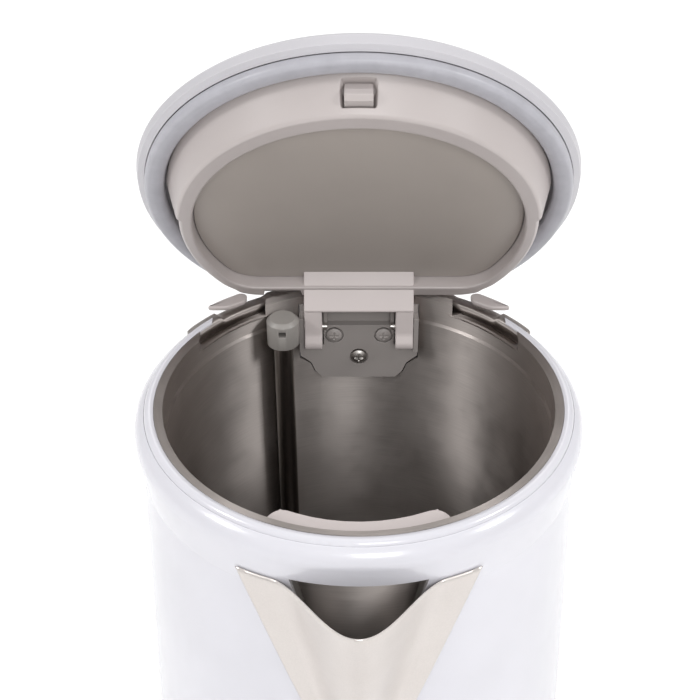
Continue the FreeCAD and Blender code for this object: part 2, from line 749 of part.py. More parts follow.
# ---------------------------------------------------------------- steam tube
def steam_tube():
    x = -s.tube_offset
    y = s.tube_setback
    top = rim - s.cap_drop
    cap_low = top - s.cap_length
    low = s.liner_floor - s.liner_wall - 1.0
    tube = cylinder("tube_solid", s.tube_radius, cap_low + 3.0 - low, x, y, low)
    bore = cylinder("tube_bore", s.tube_bore, cap_low + 5.0 - low, x, y, low - 1.0)
    name_it(cut("steam_tube_bored", tube, bore), "steam_tube")
    chamfer = 1.2
    body = cylinder("cap_solid", s.cap_radius, s.cap_length - chamfer, x, y, cap_low)
    crown = cone("cap_crown", s.cap_radius, s.cap_radius - chamfer, chamfer, x, y, top - chamfer)
    socket = cylinder("cap_socket", s.tube_radius, 3.0, x, y, cap_low)
    hollow = cylinder("cap_hollow", s.tube_bore, s.cap_length - 4.4, x, y, cap_low + 3.0)
    port = box("cap_port", x - 1.2, x + 1.2, y - s.cap_radius - 1.0, y, top - 4.6, top - 2.5)
    whole = fuse("cap_whole", body, crown)
    hollowed = cut("cap_hollowed", whole, socket, hollow, port)
    room = cylinder("cap_room", s.liner_radius - 0.05, 60.0, 0, 0, cap_low - 20.0)
    name_it(common("tube_cap_trimmed", hollowed, room), "tube_cap")


# ---------------------------------------------------------------- rear cover
def rear_cover():
    """Fills the outline of the lid behind its straight edge and laps over the rim."""
    low = rim - s.slot_depth - 0.25
    bar_top = rim - 0.2
    half = Size.of(47.0)
    full_bar = sector("rear_bar", s.rim_radius + 0.2, s.collar_radius, half, low, bar_top, False)
    step = bar_top - s.wing_step
    steps = []
    tabs = []
    for side in (-1, 1):
        word = "left" if side < 0 else "right"
        edges = sorted((s.wing_inner * side, s.wing_outer * side), key=lambda size: size.value)
        tabs.append(box("wing_" + word, edges[0], edges[1], s.lid_chord + 0.6,
                        s.lid_chord + 8.5, step, rim + s.wing_rise))
        tabs.append(box("wing_foot_" + word, edges[0], edges[1], s.lid_chord - 1.6,
                        s.lid_chord + 8.5, step, rim + 0.2))
        edges = sorted(((s.slot_inner + 1.5) * side, (s.slot_outer - 4.0) * side),
                       key=lambda size: size.value)
        steps.append(box("wing_step_" + word, edges[0], edges[1], s.slot_front,
                         s.shoulder_radius, step, rim + 3.0))
    bar = cut("rear_bar_stepped", full_bar, *steps)
    wings = fuse("rear_wings", *tabs)
    edge = cylinder("rear_edge", s.lid_radius - 0.3, 12.0, 0, 0, rim - 5.0)
    room = cylinder("rear_room", s.rim_radius + 0.1, 5.0, 0, 0, rim - 5.0)
    trimmed = cut("rear_wings_cleared", common("rear_wings_trimmed", wings, edge), room)
    name_it(fuse("rear_cover_fused", bar, trimmed), "rear_cover")


# ---------------------------------------------------------------- lid, modelled shut
def swing(obj, label):
    """Open a piece of the lid: turn it about the hinge pin."""
    pin_z = rim - s.hinge_drop
    obj.setExpression("Placement", (
        "placement(vector(0; 0; 0); rotation(vector(1; 0; 0); 0 - %s); vector(0; %s; %s))"
        % (s.lid_open_angle.text, s.hinge_setback.text, pin_z.text)))
    return name_it(obj, label)


def beyond(name, y0):
    """Everything behind a straight edge of the lid."""
    return wide_box(name, 90.0, y0, 120.0, rim - 30.0, rim + 40.0)


def d_plate(name, radius, chord, low, high):
    """A round plate about the plug's lower centre with a straight rear edge."""
    disc = cylinder(name + "_disc", radius, high - low, 0, s.plug_shift, low)
    return cut(name, disc, beyond(name + "_rear", chord))


def plug_solid(name, inset, low, high, chord):
    """The plug's tapered body, drawn in by a wall, between two heights."""
    lower = rim.value - s.plug_depth.value
    upper = rim.value + s.lid_seat.value - 0.4
    wires = []
    bend = s.plug_corner.value - inset.value
    rear = chord.value
    for height in (low.value, high.value):
        share = (height - lower) / (upper - lower)
        radius = s.plug_radius.value - inset.value
        radius = radius + share * (s.plug_top_radius.value - s.plug_radius.value)
        middle = s.plug_shift.value * (1.0 - share)
        deep = rear - bend - middle
        half = math.sqrt((radius - bend) ** 2 - deep ** 2)
        grown = radius / (radius - bend)
        slant = math.atan2(half, deep) / 2.0

        def corner(side):
            """Start, middle and end of a corner's arc, from the straight edge outwards."""
            return [FreeCAD.Vector(side * half, rear, height),
                    FreeCAD.Vector(side * (half + bend * math.sin(slant)),
                                   rear - bend + bend * math.cos(slant), height),
                    FreeCAD.Vector(side * half * grown, middle + deep * grown, height)]

        left = corner(-1)
        right = corner(1)
        front = FreeCAD.Vector(0, middle - radius, height)
        wires.append(Part.Wire([Part.Arc(*left).toShape(),
                                Part.Arc(left[2], front, right[2]).toShape(),
                                Part.Arc(*reversed(right)).toShape(),
                                Part.makeLine(right[0], left[0])]))
    return moulded(name, Part.makeLoft(wires, True, True))


def lid():
    seat = rim + s.lid_seat
    crown = rim + s.lid_crown
    edge = s.lid_radius
    wall = s.lid_wall
    lip = s.seal_outer + 0.2
    outer = turned("lid_outer", [
        (ZERO, seat), (lip, seat), (edge - 0.6, seat + 1.0), (edge, seat + 3.6),
        (edge - 9.0, crown - 2.3, edge - 2.4, crown - 4.2), (ZERO, crown, edge * 0.45, crown - 0.5)])
    inner = turned("lid_inner", [
        (ZERO, seat - 2.0), (lip - 0.2, seat - 2.0), (lip - 0.2, seat + 2.0),
        (edge - wall - 0.2, seat + 3.4),
        (edge - 9.6, crown - 2.3 - wall, edge - 4.0, crown - 4.2 - wall),
        (ZERO, crown - wall, edge * 0.45, crown - wall - 0.5)])
    hollow = cut("lid_hollow", inner, beyond("lid_hollow_rear", s.lid_chord - wall))
    button_y = Size.of(8.0)
    button_radius = 10.0
    well = cylinder("button_well", button_radius + 0.4, 30.0, 0, button_y, rim + 6.0)
    shell = cut("lid_shell_cut", outer, beyond("lid_rear", s.lid_chord), hollow, well)
    swing(shell, "lid_shell")

    seal = turned("seal_turned", [
        (s.seal_inner, seat + 0.2), (s.seal_inner, rim + 1.4),
        (s.seal_inner + 1.4, rim + 0.5), (s.seal_outer - 1.6, rim + 0.5),
        (s.seal_outer, rim + 2.2), (s.seal_outer, seat + 0.2)])
    swing(cut("lid_seal_cut", seal, beyond("seal_rear", s.lid_chord - 2.2)), "lid_seal")

    low = rim - s.plug_depth
    top = rim + s.lid_seat - 0.4
    t = s.plug_wall
    floor = low + s.recess_depth
    body = plug_solid("plug_body", ZERO, low, top, s.plug_chord)
    room = plug_solid("plug_room", t, low + t, top + 1.0, s.plug_chord - t)
    flange = turned("plug_flange", [
        (s.plug_top_radius - 2.0, seat + 0.25), (s.plug_top_radius - 2.0, seat + 1.6),
        (s.seal_outer - 0.6, seat + 1.6), (s.seal_outer - 0.6, seat + 0.25)])
    neck = s.plug_top_radius
    rim_join = turned("plug_join", [
        (neck - 1.25, top - 0.3), (neck - 1.25, seat + 0.6), (neck - 0.6, seat + 0.6),
        (neck - 0.6, top - 0.3)])
    ring = cut("plug_ring", fuse("plug_ring_full", flange, rim_join),
               beyond("plug_ring_rear", s.plug_chord))
    box_wall = d_plate("recess_box", s.recess_radius + t, s.recess_chord + t, low, floor + t)
    pocket = d_plate("recess_pocket", s.recess_radius, s.recess_chord, low - 1.0, floor)
    cup = cut("plug_cup", body, room)
    notch = box("tube_notch", -s.tube_offset - s.cap_radius - 0.8,
                -s.tube_offset + s.cap_radius + 0.8, s.tube_setback - s.cap_radius - 1.7,
                s.lid_chord + 4.0, low - 1.0, rim + 0.2)
    slot = wide_box("bolt_slot", 4.6, -s.plug_radius - 6.0, -s.plug_radius + 6.6,
                    rim - 4.9, rim + 1.7)
    whole = fuse("plug_whole", cup, ring, box_wall)
    swing(cut("lid_plug_cut", whole, pocket, notch, slot), "lid_plug")

    plate = d_plate("steel_plate", s.recess_radius - 0.3, s.recess_chord - 0.3, floor - 0.6,
                    floor)
    swing(plate, "lid_plate")

    # block and legs of the hinge arm
    pin_y = s.hinge_setback
    pin_z = rim - s.hinge_drop
    half = s.arm_half_width
    gap = s.arm_gap_half
    start = s.recess_chord - s.arm_run
    under = padded("arm_under", "YZ_Plane", [
        (start, floor - 0.65), (start, floor - 1.2), (s.recess_chord, low - 2.4),
        (s.plug_chord, low - 2.8), (s.plug_chord + 5.5, low - 2.8),
        (s.plug_chord + 5.5, low - 0.05), (s.recess_chord - 0.4, low - 0.05),
        (s.recess_chord - 0.4, floor - 0.65)], half * 2, rise=-half)
    legs = padded("arm_legs_prism", "YZ_Plane", [
        (s.plug_chord + 1.5, low - 2.8), (s.plug_chord + 1.5, low - 0.05),
        (s.plug_chord + 5.5, low - 0.05), (pin_y + 1.6, pin_z + 2.8), (pin_y + 2.8, pin_z + 1.4),
        (pin_y + 4.9, pin_z - 2.8), (pin_y + 4.4, pin_z - 5.2), (pin_y + 2.4, pin_z - 5.8),
        (pin_y - 1.4, pin_z - 2.6)], half * 2, rise=-half)
    gap_box = wide_box("arm_gap", gap, s.plug_chord + 5.5, pin_y + 10.0, pin_z - 12.0, rim)
    gap_low = wide_box("arm_gap_low", gap, s.plug_chord, pin_y + 10.0, pin_z - 12.0, low - 2.8)
    bore = cylinder("arm_bore", s.pin_radius + s.pin_play, half * 2 + 2.0, -half - 1.0, pin_y,
                    pin_z, ALONG_X)
    arm = fuse("arm_solid", under, legs)
    swing(cut("lid_arm_cut", arm, gap_box, gap_low, bore), "lid_arm")

    # press button on the top of the lid and the latch bolt it draws in
    disc = cylinder("button_disc", button_radius, 3.2, 0, button_y, crown - 2.0)
    stem = cylinder("button_stem", 4.0, crown - 2.0 - rim - 5.0, 0, button_y, rim + 5.0)
    swing(fuse("lid_button_fused", disc, stem), "lid_button")
    bar = wide_box("bolt_bar", 4.0, -s.plug_radius + 4.6, -button_y - 4.0, rim - 0.3, rim + 1.3)
    head = padded("bolt_head", "YZ_Plane", [
        (-s.bolt_reach, rim - 1.6), (-s.bolt_reach + 1.2, rim + 1.3),
        (-s.plug_radius + 4.6, rim + 1.3), (-s.plug_radius + 4.6, rim - 4.5),
        (-s.bolt_reach + 1.6, rim - 4.5), (-s.bolt_reach, rim - 3.4)], 8.0,
        rise=Size.of(-4.0))
    swing(fuse("latch_bolt_fused", bar, head), "latch_bolt")


# ---------------------------------------------------------------- handle
def handle_path(inset):
    """Centre line of the grip in the plane X = 0, with round corners."""
    top = s.rim_height.value - s.handle_top_drop.value
    low = s.handle_foot_height.value
    back = s.handle_reach.value - inset
    near = s.neck_radius.value - 4.0
    bend = (back - near) * s.handle_bend_share.value
    lean = 6.0
    corners = [FreeCAD.Vector(0, near, top - 2.0), FreeCAD.Vector(0, back, top),
               FreeCAD.Vector(0, back - lean, low), FreeCAD.Vector(0, near + 3.0, low + 6.0)]
    edges = []
    start = corners[0]
    for index in (1, 2):
        before = (corners[index - 1] - corners[index]).normalize()
        after = (corners[index + 1] - corners[index]).normalize()
        half = before.getAngle(after) / 2.0
        run = bend / math.tan(half)
        first = corners[index] + before * run
        last = corners[index] + after * run
        bisector = (before + after).normalize()
        centre = corners[index] + bisector * (bend / math.sin(half))
        middle = centre - bisector * bend
        edges.append(Part.makeLine(start, first))
        edges.append(Part.Arc(first, middle, last).toShape())
        start = last
    edges.append(Part.makeLine(start, corners[3]))
    return Part.Wire(edges)


def swept(path, width, low, high, corner):
    """A rounded bar swept along the path: low and high are its faces across the path."""
    first = path.Edges[0]
    start = first.valueAt(first.FirstParameter)
    along = first.tangentAt(first.FirstParameter)
    side = FreeCAD.Vector(1, 0, 0)
    up = side.cross(along).normalize()

    def at(u, v):
        return start + side * u + up * v

    if corner == 0:
        corners = [at(-width, low), at(width, low), at(width, high), at(-width, high)]
        wire = Part.makePolygon(corners + [corners[0]])
    else:
        edges = []
        cut_off = corner * (1.0 - math.sqrt(0.5))
        flat_u = width - corner
        turns = ((flat_u, low, width, low + corner), (width, high - corner, flat_u, high),
                 (-flat_u, high, -width, high - corner), (-width, low + corner, -flat_u, low))
        for index, (u0, v0, u1, v1) in enumerate(turns):
            via_u = math.copysign(width - cut_off, u0 + u1)
            via_v = low + cut_off if index in (0, 3) else high - cut_off
            edges.append(Part.Arc(at(u0, v0), at(via_u, via_v), at(u1, v1)).toShape())
            following = turns[(index + 1) % 4]
            edges.append(Part.makeLine(at(u1, v1), at(following[0], following[1])))
        wire = Part.Wire(edges)
    return path.makePipeShell([wire], True, False, 2)


def handle():
    half = s.handle_half_width.value
    thick = s.handle_thickness.value
    wall = s.handle_wall.value
    path = handle_path(thick / 2.0)
    bar = swept(path, half, -thick / 2.0, thick / 2.0, 5.5)
    strip = swept(path, half - wall - 0.1, -thick / 2.0 - 0.02, -thick / 2.0 + 5.4, 0.0)
    hollow = swept(path, half - wall, -thick / 2.0 - 2.0, thick / 2.0 - wall, 0.0)
    shell = moulded("handle_bar", bar)
    channel = moulded("handle_channel", hollow)
    grip = moulded("handle_strip", strip)
    trim = filled_shell("handle_trim")
    ring_trim = turned("handle_top_trim", [
        (ZERO, rim - s.neck_drop), (s.shoulder_radius + 0.4, rim - s.neck_drop),
        (s.shoulder_radius + 0.4, rim + 20.0), (ZERO, rim + 20.0)])
    name_it(cut("handle_shell_cut", shell, channel, trim, ring_trim), "handle_shell")
    bar_copy = moulded("handle_envelope", bar)
    inside = common("handle_grip_inside", grip, bar_copy)
    name_it(cut("handle_grip_cut", inside, trim, ring_trim), "handle_grip")


# ---------------------------------------------------------------- power lever
def power_lever():
    y = s.lever_setback
    z = s.lever_height
    half = s.lever_half_width
    hub = cylinder("lever_hub", 3.0, half * 2 - 0.4, -half + 0.2, y, z, ALONG_X)
    blade = padded("lever_blade", "YZ_Plane", [
        (y, z - 2.0), (y, z + 2.0), (y + s.lever_length * 0.5, z + 1.8),
        (y + s.lever_length, z - 1.2), (y + s.lever_length, z - 4.2),
        (y + s.lever_length * 0.5, z - 2.0)], half * 2 - 0.4, rise=-half + 0.2)
    bore = cylinder("lever_bore", s.lever_pin_radius + s.pin_play, half * 2 + 2.0, -half - 1.0,
                    y, z, ALONG_X)
    name_it(cut("power_lever_bored", fuse("lever_solid", hub, blade), bore), "power_lever")
    pin = cylinder("lever_axle", s.lever_pin_radius, half * 2 + 6.4, -half - 3.2, y, z, ALONG_X)
    name_it(pin, "lever_pin")


# ---------------------------------------------------------------- build
power_base()
coupler()
walls()
underside()
beak()
spout_lining()
strainer()
hinge_bracket()
steam_tube()
rear_cover()
lid()
handle()
power_lever()
doc.recompute()

NODES = [
    "base_cover", "base_plate", "base_feet", "base_screws", "base_hub", "hub_contacts",
    "cord_gland", "kettle_coupler", "outer_shell", "top_collar", "inner_liner",
    "bottom_cover", "cover_screws", "heater_plate", "heater_ring", "control_unit",
    "spout_beak", "spout_duct", "filter_frame", "filter_mesh", "hinge_bracket",
    "bracket_screws", "hinge_pins", "steam_tube", "tube_cap", "rear_cover", "lid_shell",
    "lid_seal", "lid_plug", "lid_plate", "lid_arm", "lid_button", "latch_bolt",
    "handle_shell", "handle_grip", "power_lever", "lever_pin",
]

for obj in doc.Objects:
    state = [flag for flag in obj.State if flag in ("Invalid", "Error")]
    if state:
        raise RuntimeError("%s (%s) failed: %s" % (obj.Name, obj.Label, obj.getStatusString()))

os.makedirs("parts", exist_ok=True)
for node in NODES:
    found = [obj for obj in doc.Objects if obj.Label == node]
    if len(found) != 1:
        raise RuntimeError("%s is made %d times" % (node, len(found)))
    shape = found[0].Shape
    if shape.isNull() or not shape.isValid():
        raise RuntimeError("%s has no valid shape" % node)
    shape.exportStep("parts/%s.step" % node)
    print("%-16s solids %d volume %.1f" % (node, len(shape.Solids), shape.Volume))
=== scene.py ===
"""Looks of the electric kettle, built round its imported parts.

Lengths in the dataclasses are millimetres in the part's own frame: the origin is the centre of
the power base on the table, +Z is up, the beak points to -Y and the handle to +Y.
"""

import logging
import math
from dataclasses import dataclass, field
from enum import Enum

import bpy
import numpy as np
from mathutils import Matrix, Vector


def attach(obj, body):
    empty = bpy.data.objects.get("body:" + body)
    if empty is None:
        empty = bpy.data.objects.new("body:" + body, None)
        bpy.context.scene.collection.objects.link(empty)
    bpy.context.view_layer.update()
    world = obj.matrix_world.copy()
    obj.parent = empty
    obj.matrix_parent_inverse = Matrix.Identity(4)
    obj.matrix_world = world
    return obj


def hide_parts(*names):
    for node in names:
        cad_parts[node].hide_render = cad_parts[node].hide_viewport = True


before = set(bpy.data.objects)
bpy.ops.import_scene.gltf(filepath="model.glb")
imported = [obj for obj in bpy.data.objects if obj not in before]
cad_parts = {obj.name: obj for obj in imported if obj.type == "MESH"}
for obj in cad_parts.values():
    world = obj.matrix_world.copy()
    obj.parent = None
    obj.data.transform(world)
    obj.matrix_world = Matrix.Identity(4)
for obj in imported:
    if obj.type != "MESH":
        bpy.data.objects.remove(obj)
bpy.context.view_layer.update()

LOG = logging.getLogger("kettle")
MM = 0.001
RIM = 224.0        # height of the rim above the table
LINE_RUN = 0.0012  # metres of noise for each radian along a brush line, so lines run long


class Body(Enum):
    """Moving bodies of the part."""

    BASE = "base"
    COUPLER = "coupler"
    KETTLE = "kettle"
    FILTER = "filter"
    LID = "lid"
    BUTTON = "button"
    LATCH = "latch"
    LEVER = "lever"


class Brush(Enum):
    """How a metal's surface was finished: brushed in rings, or blasted to an even satin."""

    AROUND = "around"
    BLASTED = "blasted"


# ---------------------------------------------------------------- colours and shader nodes
def linear(colour: str) -> tuple[float, float, float, float]:
    """Convert a hex sRGB colour to linear RGBA.

    Args:
        colour: Colour such as "#c0bbba".

    Returns:
        Linear red, green, blue and an alpha of one.
    """
    srgb = np.array([int(colour[i:i + 2], 16) for i in (1, 3, 5)]) / 255.0
    low = srgb / 12.92
    high = ((srgb + 0.055) / 1.055) ** 2.4
    return (*np.where(srgb <= 0.04045, low, high).tolist(), 1.0)


def scaled(colour: str, factor: float) -> tuple[float, float, float, float]:
    """Return a linear colour made lighter or darker by a factor."""
    red, green, blue, alpha = linear(colour)
    return (min(red * factor, 1.0), min(green * factor, 1.0), min(blue * factor, 1.0), alpha)


def add_node(tree: bpy.types.NodeTree, kind: str, settings: dict | None = None,
             links: dict | None = None) -> bpy.types.Node:
    """Add one shader node with its settings and incoming links.

    Args:
        tree: Node tree of the material or world.
        kind: Type name of the node.
        settings: Attribute names, or input sockets by name or index, with their values.
        links: Input sockets by name or index, with the output sockets that feed them.

    Returns:
        The new node.
    """
    node = tree.nodes.new(kind)
    for key, value in (settings or {}).items():
        if isinstance(key, str) and hasattr(node, key):
            setattr(node, key, value)
        else:
            node.inputs[key].default_value = value
    for key, source in (links or {}).items():
        tree.links.new(source, node.inputs[key])
    return node


def new_material(name: str) -> tuple[bpy.types.Material, bpy.types.NodeTree,
                                     bpy.types.Node, bpy.types.NodeSocket]:
    """Make a material with an empty principled shader.

    Args:
        name: Name of the material.

    Returns:
        The material, its tree, its principled shader and the object coordinates in metres.
    """
    material = bpy.data.materials.new(name)
    material.use_nodes = True
    tree = material.node_tree
    tree.nodes.clear()
    shader = add_node(tree, "ShaderNodeBsdfPrincipled")
    add_node(tree, "ShaderNodeOutputMaterial", links={"Surface": shader.outputs["BSDF"]})
    coordinates = add_node(tree, "ShaderNodeTexCoord")
    return material, tree, shader, coordinates.outputs["Object"]


def noise(tree: bpy.types.NodeTree, place: bpy.types.NodeSocket, size_mm: float,
          detail: float = 3.0) -> bpy.types.NodeSocket:
    """Return noise whose features are about size_mm across."""
    node = add_node(tree, "ShaderNodeTexNoise",
                    {"Scale": 1.0 / (size_mm * MM), "Detail": detail, "Roughness": 0.55},
                    {"Vector": place})
    return node.outputs["Fac"]


def spread(tree: bpy.types.NodeTree, source: bpy.types.NodeSocket, low: float,
           high: float) -> bpy.types.NodeSocket:
    """Map the middle of a noise's range to values between low and high."""
    node = add_node(tree, "ShaderNodeMapRange",
                    {"From Min": 0.3, "From Max": 0.7, "To Min": low, "To Max": high},
                    {"Value": source})
    return node.outputs["Result"]


def blend_colours(tree: bpy.types.NodeTree, factor: bpy.types.NodeSocket,
                  first: tuple, second: tuple) -> bpy.types.NodeSocket:
    """Return a colour that runs from first to second with the factor."""
    node = add_node(tree, "ShaderNodeMix", {"data_type": "RGBA", 6: first, 7: second},
                    {0: factor})
    return node.outputs[2]


def mottled(tree: bpy.types.NodeTree, pattern: bpy.types.NodeSocket, colour: str,
            low: float, high: float) -> bpy.types.NodeSocket:
    """Return a colour that runs from low to high times itself with a pattern."""
    return blend_colours(tree, spread(tree, pattern, 0.0, 1.0), scaled(colour, low),
                         scaled(colour, high))


def relief(tree: bpy.types.NodeTree, shader: bpy.types.Node, height: bpy.types.NodeSocket,
           strength: float, depth_mm: float) -> None:
    """Give a shader the bumps of a pattern, depth_mm deep."""
    bump = add_node(tree, "ShaderNodeBump", {"Strength": strength, "Distance": depth_mm * MM},
                    {"Height": height})
    tree.links.new(bump.outputs["Normal"], shader.inputs["Normal"])


def set_sockets(shader: bpy.types.Node, values: dict) -> None:
    """Set unlinked sockets of a shader by name."""
    for name, value in values.items():
        shader.inputs[name].default_value = value


def painted_edge_highlight(tree: bpy.types.NodeTree, radius_mm: float) -> bpy.types.NodeSocket:
    """Return a value that is high along convex edges, where the colour is lightened as a painted
    highlight.
    """
    geometry = add_node(tree, "ShaderNodeNewGeometry")
    bevel = add_node(tree, "ShaderNodeBevel", {"samples": 4, "Radius": radius_mm * MM})
    dot = add_node(tree, "ShaderNodeVectorMath", {"operation": "DOT_PRODUCT"},
                   {0: geometry.outputs["Normal"], 1: bevel.outputs["Normal"]})
    node = add_node(tree, "ShaderNodeMapRange",
                    {"From Min": 0.995, "From Max": 0.90, "To Min": 0.0, "To Max": 1.0},
                    {"Value": dot.outputs["Value"]})
    return node.outputs["Result"]


# ---------------------------------------------------------------- finishes
@dataclass(frozen=True)
class MouldedPlastic:
    """Injection-moulded plastic with a fine grain, faint mottling and a painted highlight along
    convex edges.
    """

    name: str
    colour: str
    roughness: float
    grain_mm: float = 0.5
    grain_depth_mm: float = 0.004
    coat: float = 0.0
    subsurface: float = 0.0

    def material(self) -> bpy.types.Material:
        """Return the material.

        Returns:
            A principled material with mottled colour, uneven gloss and a fine grain.
        """
        material, tree, shader, place = new_material(self.name)
        broad = noise(tree, place, 38.0, 2.0)
        tone = mottled(tree, broad, self.colour, 0.965, 1.03)
        # Convex edges are lightened to 1.12 times the colour: a painted highlight, not wear.
        edges = painted_edge_highlight(tree, 0.5)
        edge_highlight = add_node(tree, "ShaderNodeMix",
                          {"data_type": "RGBA", 7: scaled(self.colour, 1.12)},
                          {0: edges, 6: tone})
        tree.links.new(edge_highlight.outputs[2], shader.inputs["Base Color"])
        smears = noise(tree, place, 9.0, 4.0)
        tree.links.new(spread(tree, smears, self.roughness * 0.88, self.roughness * 1.14),
                       shader.inputs["Roughness"])
        relief(tree, shader, noise(tree, place, self.grain_mm, 2.0), 0.55, self.grain_depth_mm)
        set_sockets(shader, {"IOR": 1.53, "Coat Weight": self.coat, "Coat Roughness": 0.06,
                             "Subsurface Weight": self.subsurface,
                             "Subsurface Radius": (0.6, 0.5, 0.45),
                             "Subsurface Scale": 1.5 * MM})
        return material


@dataclass(frozen=True)
class Rubber:
    """Silicone or rubber with a soft, slightly dusty surface."""

    name: str
    colour: str
    roughness: float = 0.42

    def material(self) -> bpy.types.Material:
        """Return the material.

        Returns:
            A principled material with a fine grain and a dusty bloom.
        """
        material, tree, shader, place = new_material(self.name)
        bloom = noise(tree, place, 5.0, 4.0)
        tone = mottled(tree, bloom, self.colour, 0.95, 1.07)
        tree.links.new(tone, shader.inputs["Base Color"])
        tree.links.new(spread(tree, bloom, self.roughness * 0.9, self.roughness * 1.15),
                       shader.inputs["Roughness"])
        relief(tree, shader, noise(tree, place, 0.7, 2.0), 0.4, 0.006)
        set_sockets(shader, {"IOR": 1.43, "Sheen Weight": 0.08})
        return material


@dataclass(frozen=True)
class Metal:
    """Bare metal with brush lines or a blasted surface and faint water marks."""

    name: str
    colour: str
    roughness: float
    brush: Brush = Brush.BLASTED
    stretch: float = 0.0
    line_mm: float = 0.35
    line_depth_mm: float = 0.004
    contrast: float = 0.16

    def lines(self, tree: bpy.types.NodeTree,
              place: bpy.types.NodeSocket) -> bpy.types.NodeSocket:
        """Return noise drawn out along the brush.

        Args:
            tree: Node tree of the material.
            place: Object coordinates in metres.

        Returns:
            A value that changes fast across the lines and slowly along them.
        """
        if self.brush is Brush.BLASTED:
            return noise(tree, place, self.line_mm, 2.0)
        parts = add_node(tree, "ShaderNodeSeparateXYZ", links={"Vector": place})
        angle = add_node(tree, "ShaderNodeMath", {"operation": "ARCTAN2"},
                         {0: parts.outputs["Y"], 1: parts.outputs["X"]})
        arc = add_node(tree, "ShaderNodeMath", {"operation": "MULTIPLY", 1: LINE_RUN},
                       {0: angle.outputs["Value"]})
        joined = add_node(tree, "ShaderNodeCombineXYZ", {"Y": 0.0},
                          {"X": arc.outputs["Value"], "Z": parts.outputs["Z"]})
        return noise(tree, joined.outputs["Vector"], self.line_mm, 3.0)

    def material(self) -> bpy.types.Material:
        """Return the material.

        Returns:
            A metallic principled material whose tone, gloss and relief follow the brush.
        """
        material, tree, shader, place = new_material(self.name)
        lines = self.lines(tree, place)
        tone = mottled(tree, lines, self.colour, 1.0 - self.contrast * 0.5,
                       1.0 + self.contrast * 0.5)
        tree.links.new(tone, shader.inputs["Base Color"])
        marks = noise(tree, place, 14.0, 5.0)
        wet = spread(tree, marks, self.roughness * 0.85, self.roughness * 1.2)
        streaks = add_node(tree, "ShaderNodeMath", {"operation": "MULTIPLY_ADD", 1: 0.10},
                           {0: lines, 2: wet})
        tree.links.new(streaks.outputs["Value"], shader.inputs["Roughness"])
        relief(tree, shader, lines, 0.5, self.line_depth_mm)
        set_sockets(shader, {"Metallic": 1.0})
        if self.brush is Brush.AROUND:
            tangent = add_node(tree, "ShaderNodeTangent",
                               {"direction_type": "RADIAL", "axis": "Z"})
            tree.links.new(tangent.outputs["Tangent"], shader.inputs["Tangent"])
            set_sockets(shader, {"Anisotropic": self.stretch, "Anisotropic Rotation": 0.25})
        return material


# Polypropylene shells, moulded in a polished tool: white with a soft, broad gloss.
WHITE_SHELL = MouldedPlastic("shell_white", "#c9c8ce", 0.20, 1.6, 0.002, coat=0.35,
                             subsurface=0.05)
# Plain moulded polypropylene in warm greys: a fine grain and a low sheen.
LIGHT_PLASTIC = MouldedPlastic("plastic_light", "#aea6a4", 0.36)
PALE_PLASTIC = MouldedPlastic("plastic_pale", "#c9c0be", 0.36)
# The lid's shell is white like the body but drawn in a darker grey: painted shade.
SHADED_LID_PLASTIC = MouldedPlastic("plastic_lid_painted_shade", "#b5b3b7", 0.34)
CAP_PLASTIC = MouldedPlastic("plastic_cap", "#938f8b", 0.36)
BRACKET_PLASTIC = MouldedPlastic("plastic_bracket", "#9f9996", 0.38)
GREY_PLASTIC = MouldedPlastic("plastic_grey", "#77736f", 0.42)
PLATE_PLASTIC = MouldedPlastic("plastic_plate", "#a29a94", 0.34, 0.8, 0.003)
DARK_PLASTIC = MouldedPlastic("plastic_dark", "#2a2a2c", 0.48)
# Rubber feet and a silicone seal: soft, slightly dusty surfaces.
FEET_RUBBER = Rubber("rubber_feet", "#3a3a3c", 0.62)
SEAL_SILICONE = Rubber("silicone_seal", "#a3a2a8", 0.34)
# Stainless steel: brushed in rings for the liner, where highlights draw out into bands, and
# blasted or plain for the rest. Real brush lines are finer, so these are drawn coarser.
LINER_STEEL = Metal("steel_liner", "#b5aeaa", 0.46, Brush.AROUND, 0.93, 0.30, 0.004, 0.16)
SATIN_STEEL = Metal("steel_satin", "#cfc9c5", 0.34, Brush.BLASTED, 0.0, 0.5, 0.002, 0.06)
TUBE_STEEL = Metal("steel_tube", "#8d8884", 0.16, Brush.BLASTED, 0.0, 0.5, 0.001, 0.08)
SCREW_STEEL = Metal("steel_screw", "#c8c4c0", 0.30, Brush.BLASTED, 0.0, 0.6, 0.001, 0.10)
# Cast aluminium of the heater's plate, with a sandy skin, and turned brass contacts.
CAST_ALUMINIUM = Metal("aluminium_plate", "#bdbdc0", 0.45, Brush.BLASTED, 0.0, 0.8, 0.02, 0.12)
CONTACT_BRASS = Metal("brass_contact", "#d9b56a", 0.25, Brush.AROUND, 0.3, 0.2, 0.002, 0.10)


# ---------------------------------------------------------------- surfaces
def grid_faces(rows: int, columns: int, wrap_rows: bool, wrap_columns: bool) -> np.ndarray:
    """Return the quads of a grid of points.

    Args:
        rows: Number of rows.
        columns: Number of points in a row.
        wrap_rows: Whether the last row joins the first.
        wrap_columns: Whether the ends of a row join.

    Returns:
        Indices of the quads' corners, four to a row.
    """
    row = np.arange(rows if wrap_rows else rows - 1)[:, None]
    column = np.arange(columns if wrap_columns else columns - 1)[None, :]
    below = (row + 1) % rows
    after = (column + 1) % columns
    corners = [row * columns + column, row * columns + after, below * columns + after,
               below * columns + column]
    return np.stack([np.broadcast_to(c, (row.size, column.size)) for c in corners],
                    axis=-1).reshape(-1, 4)


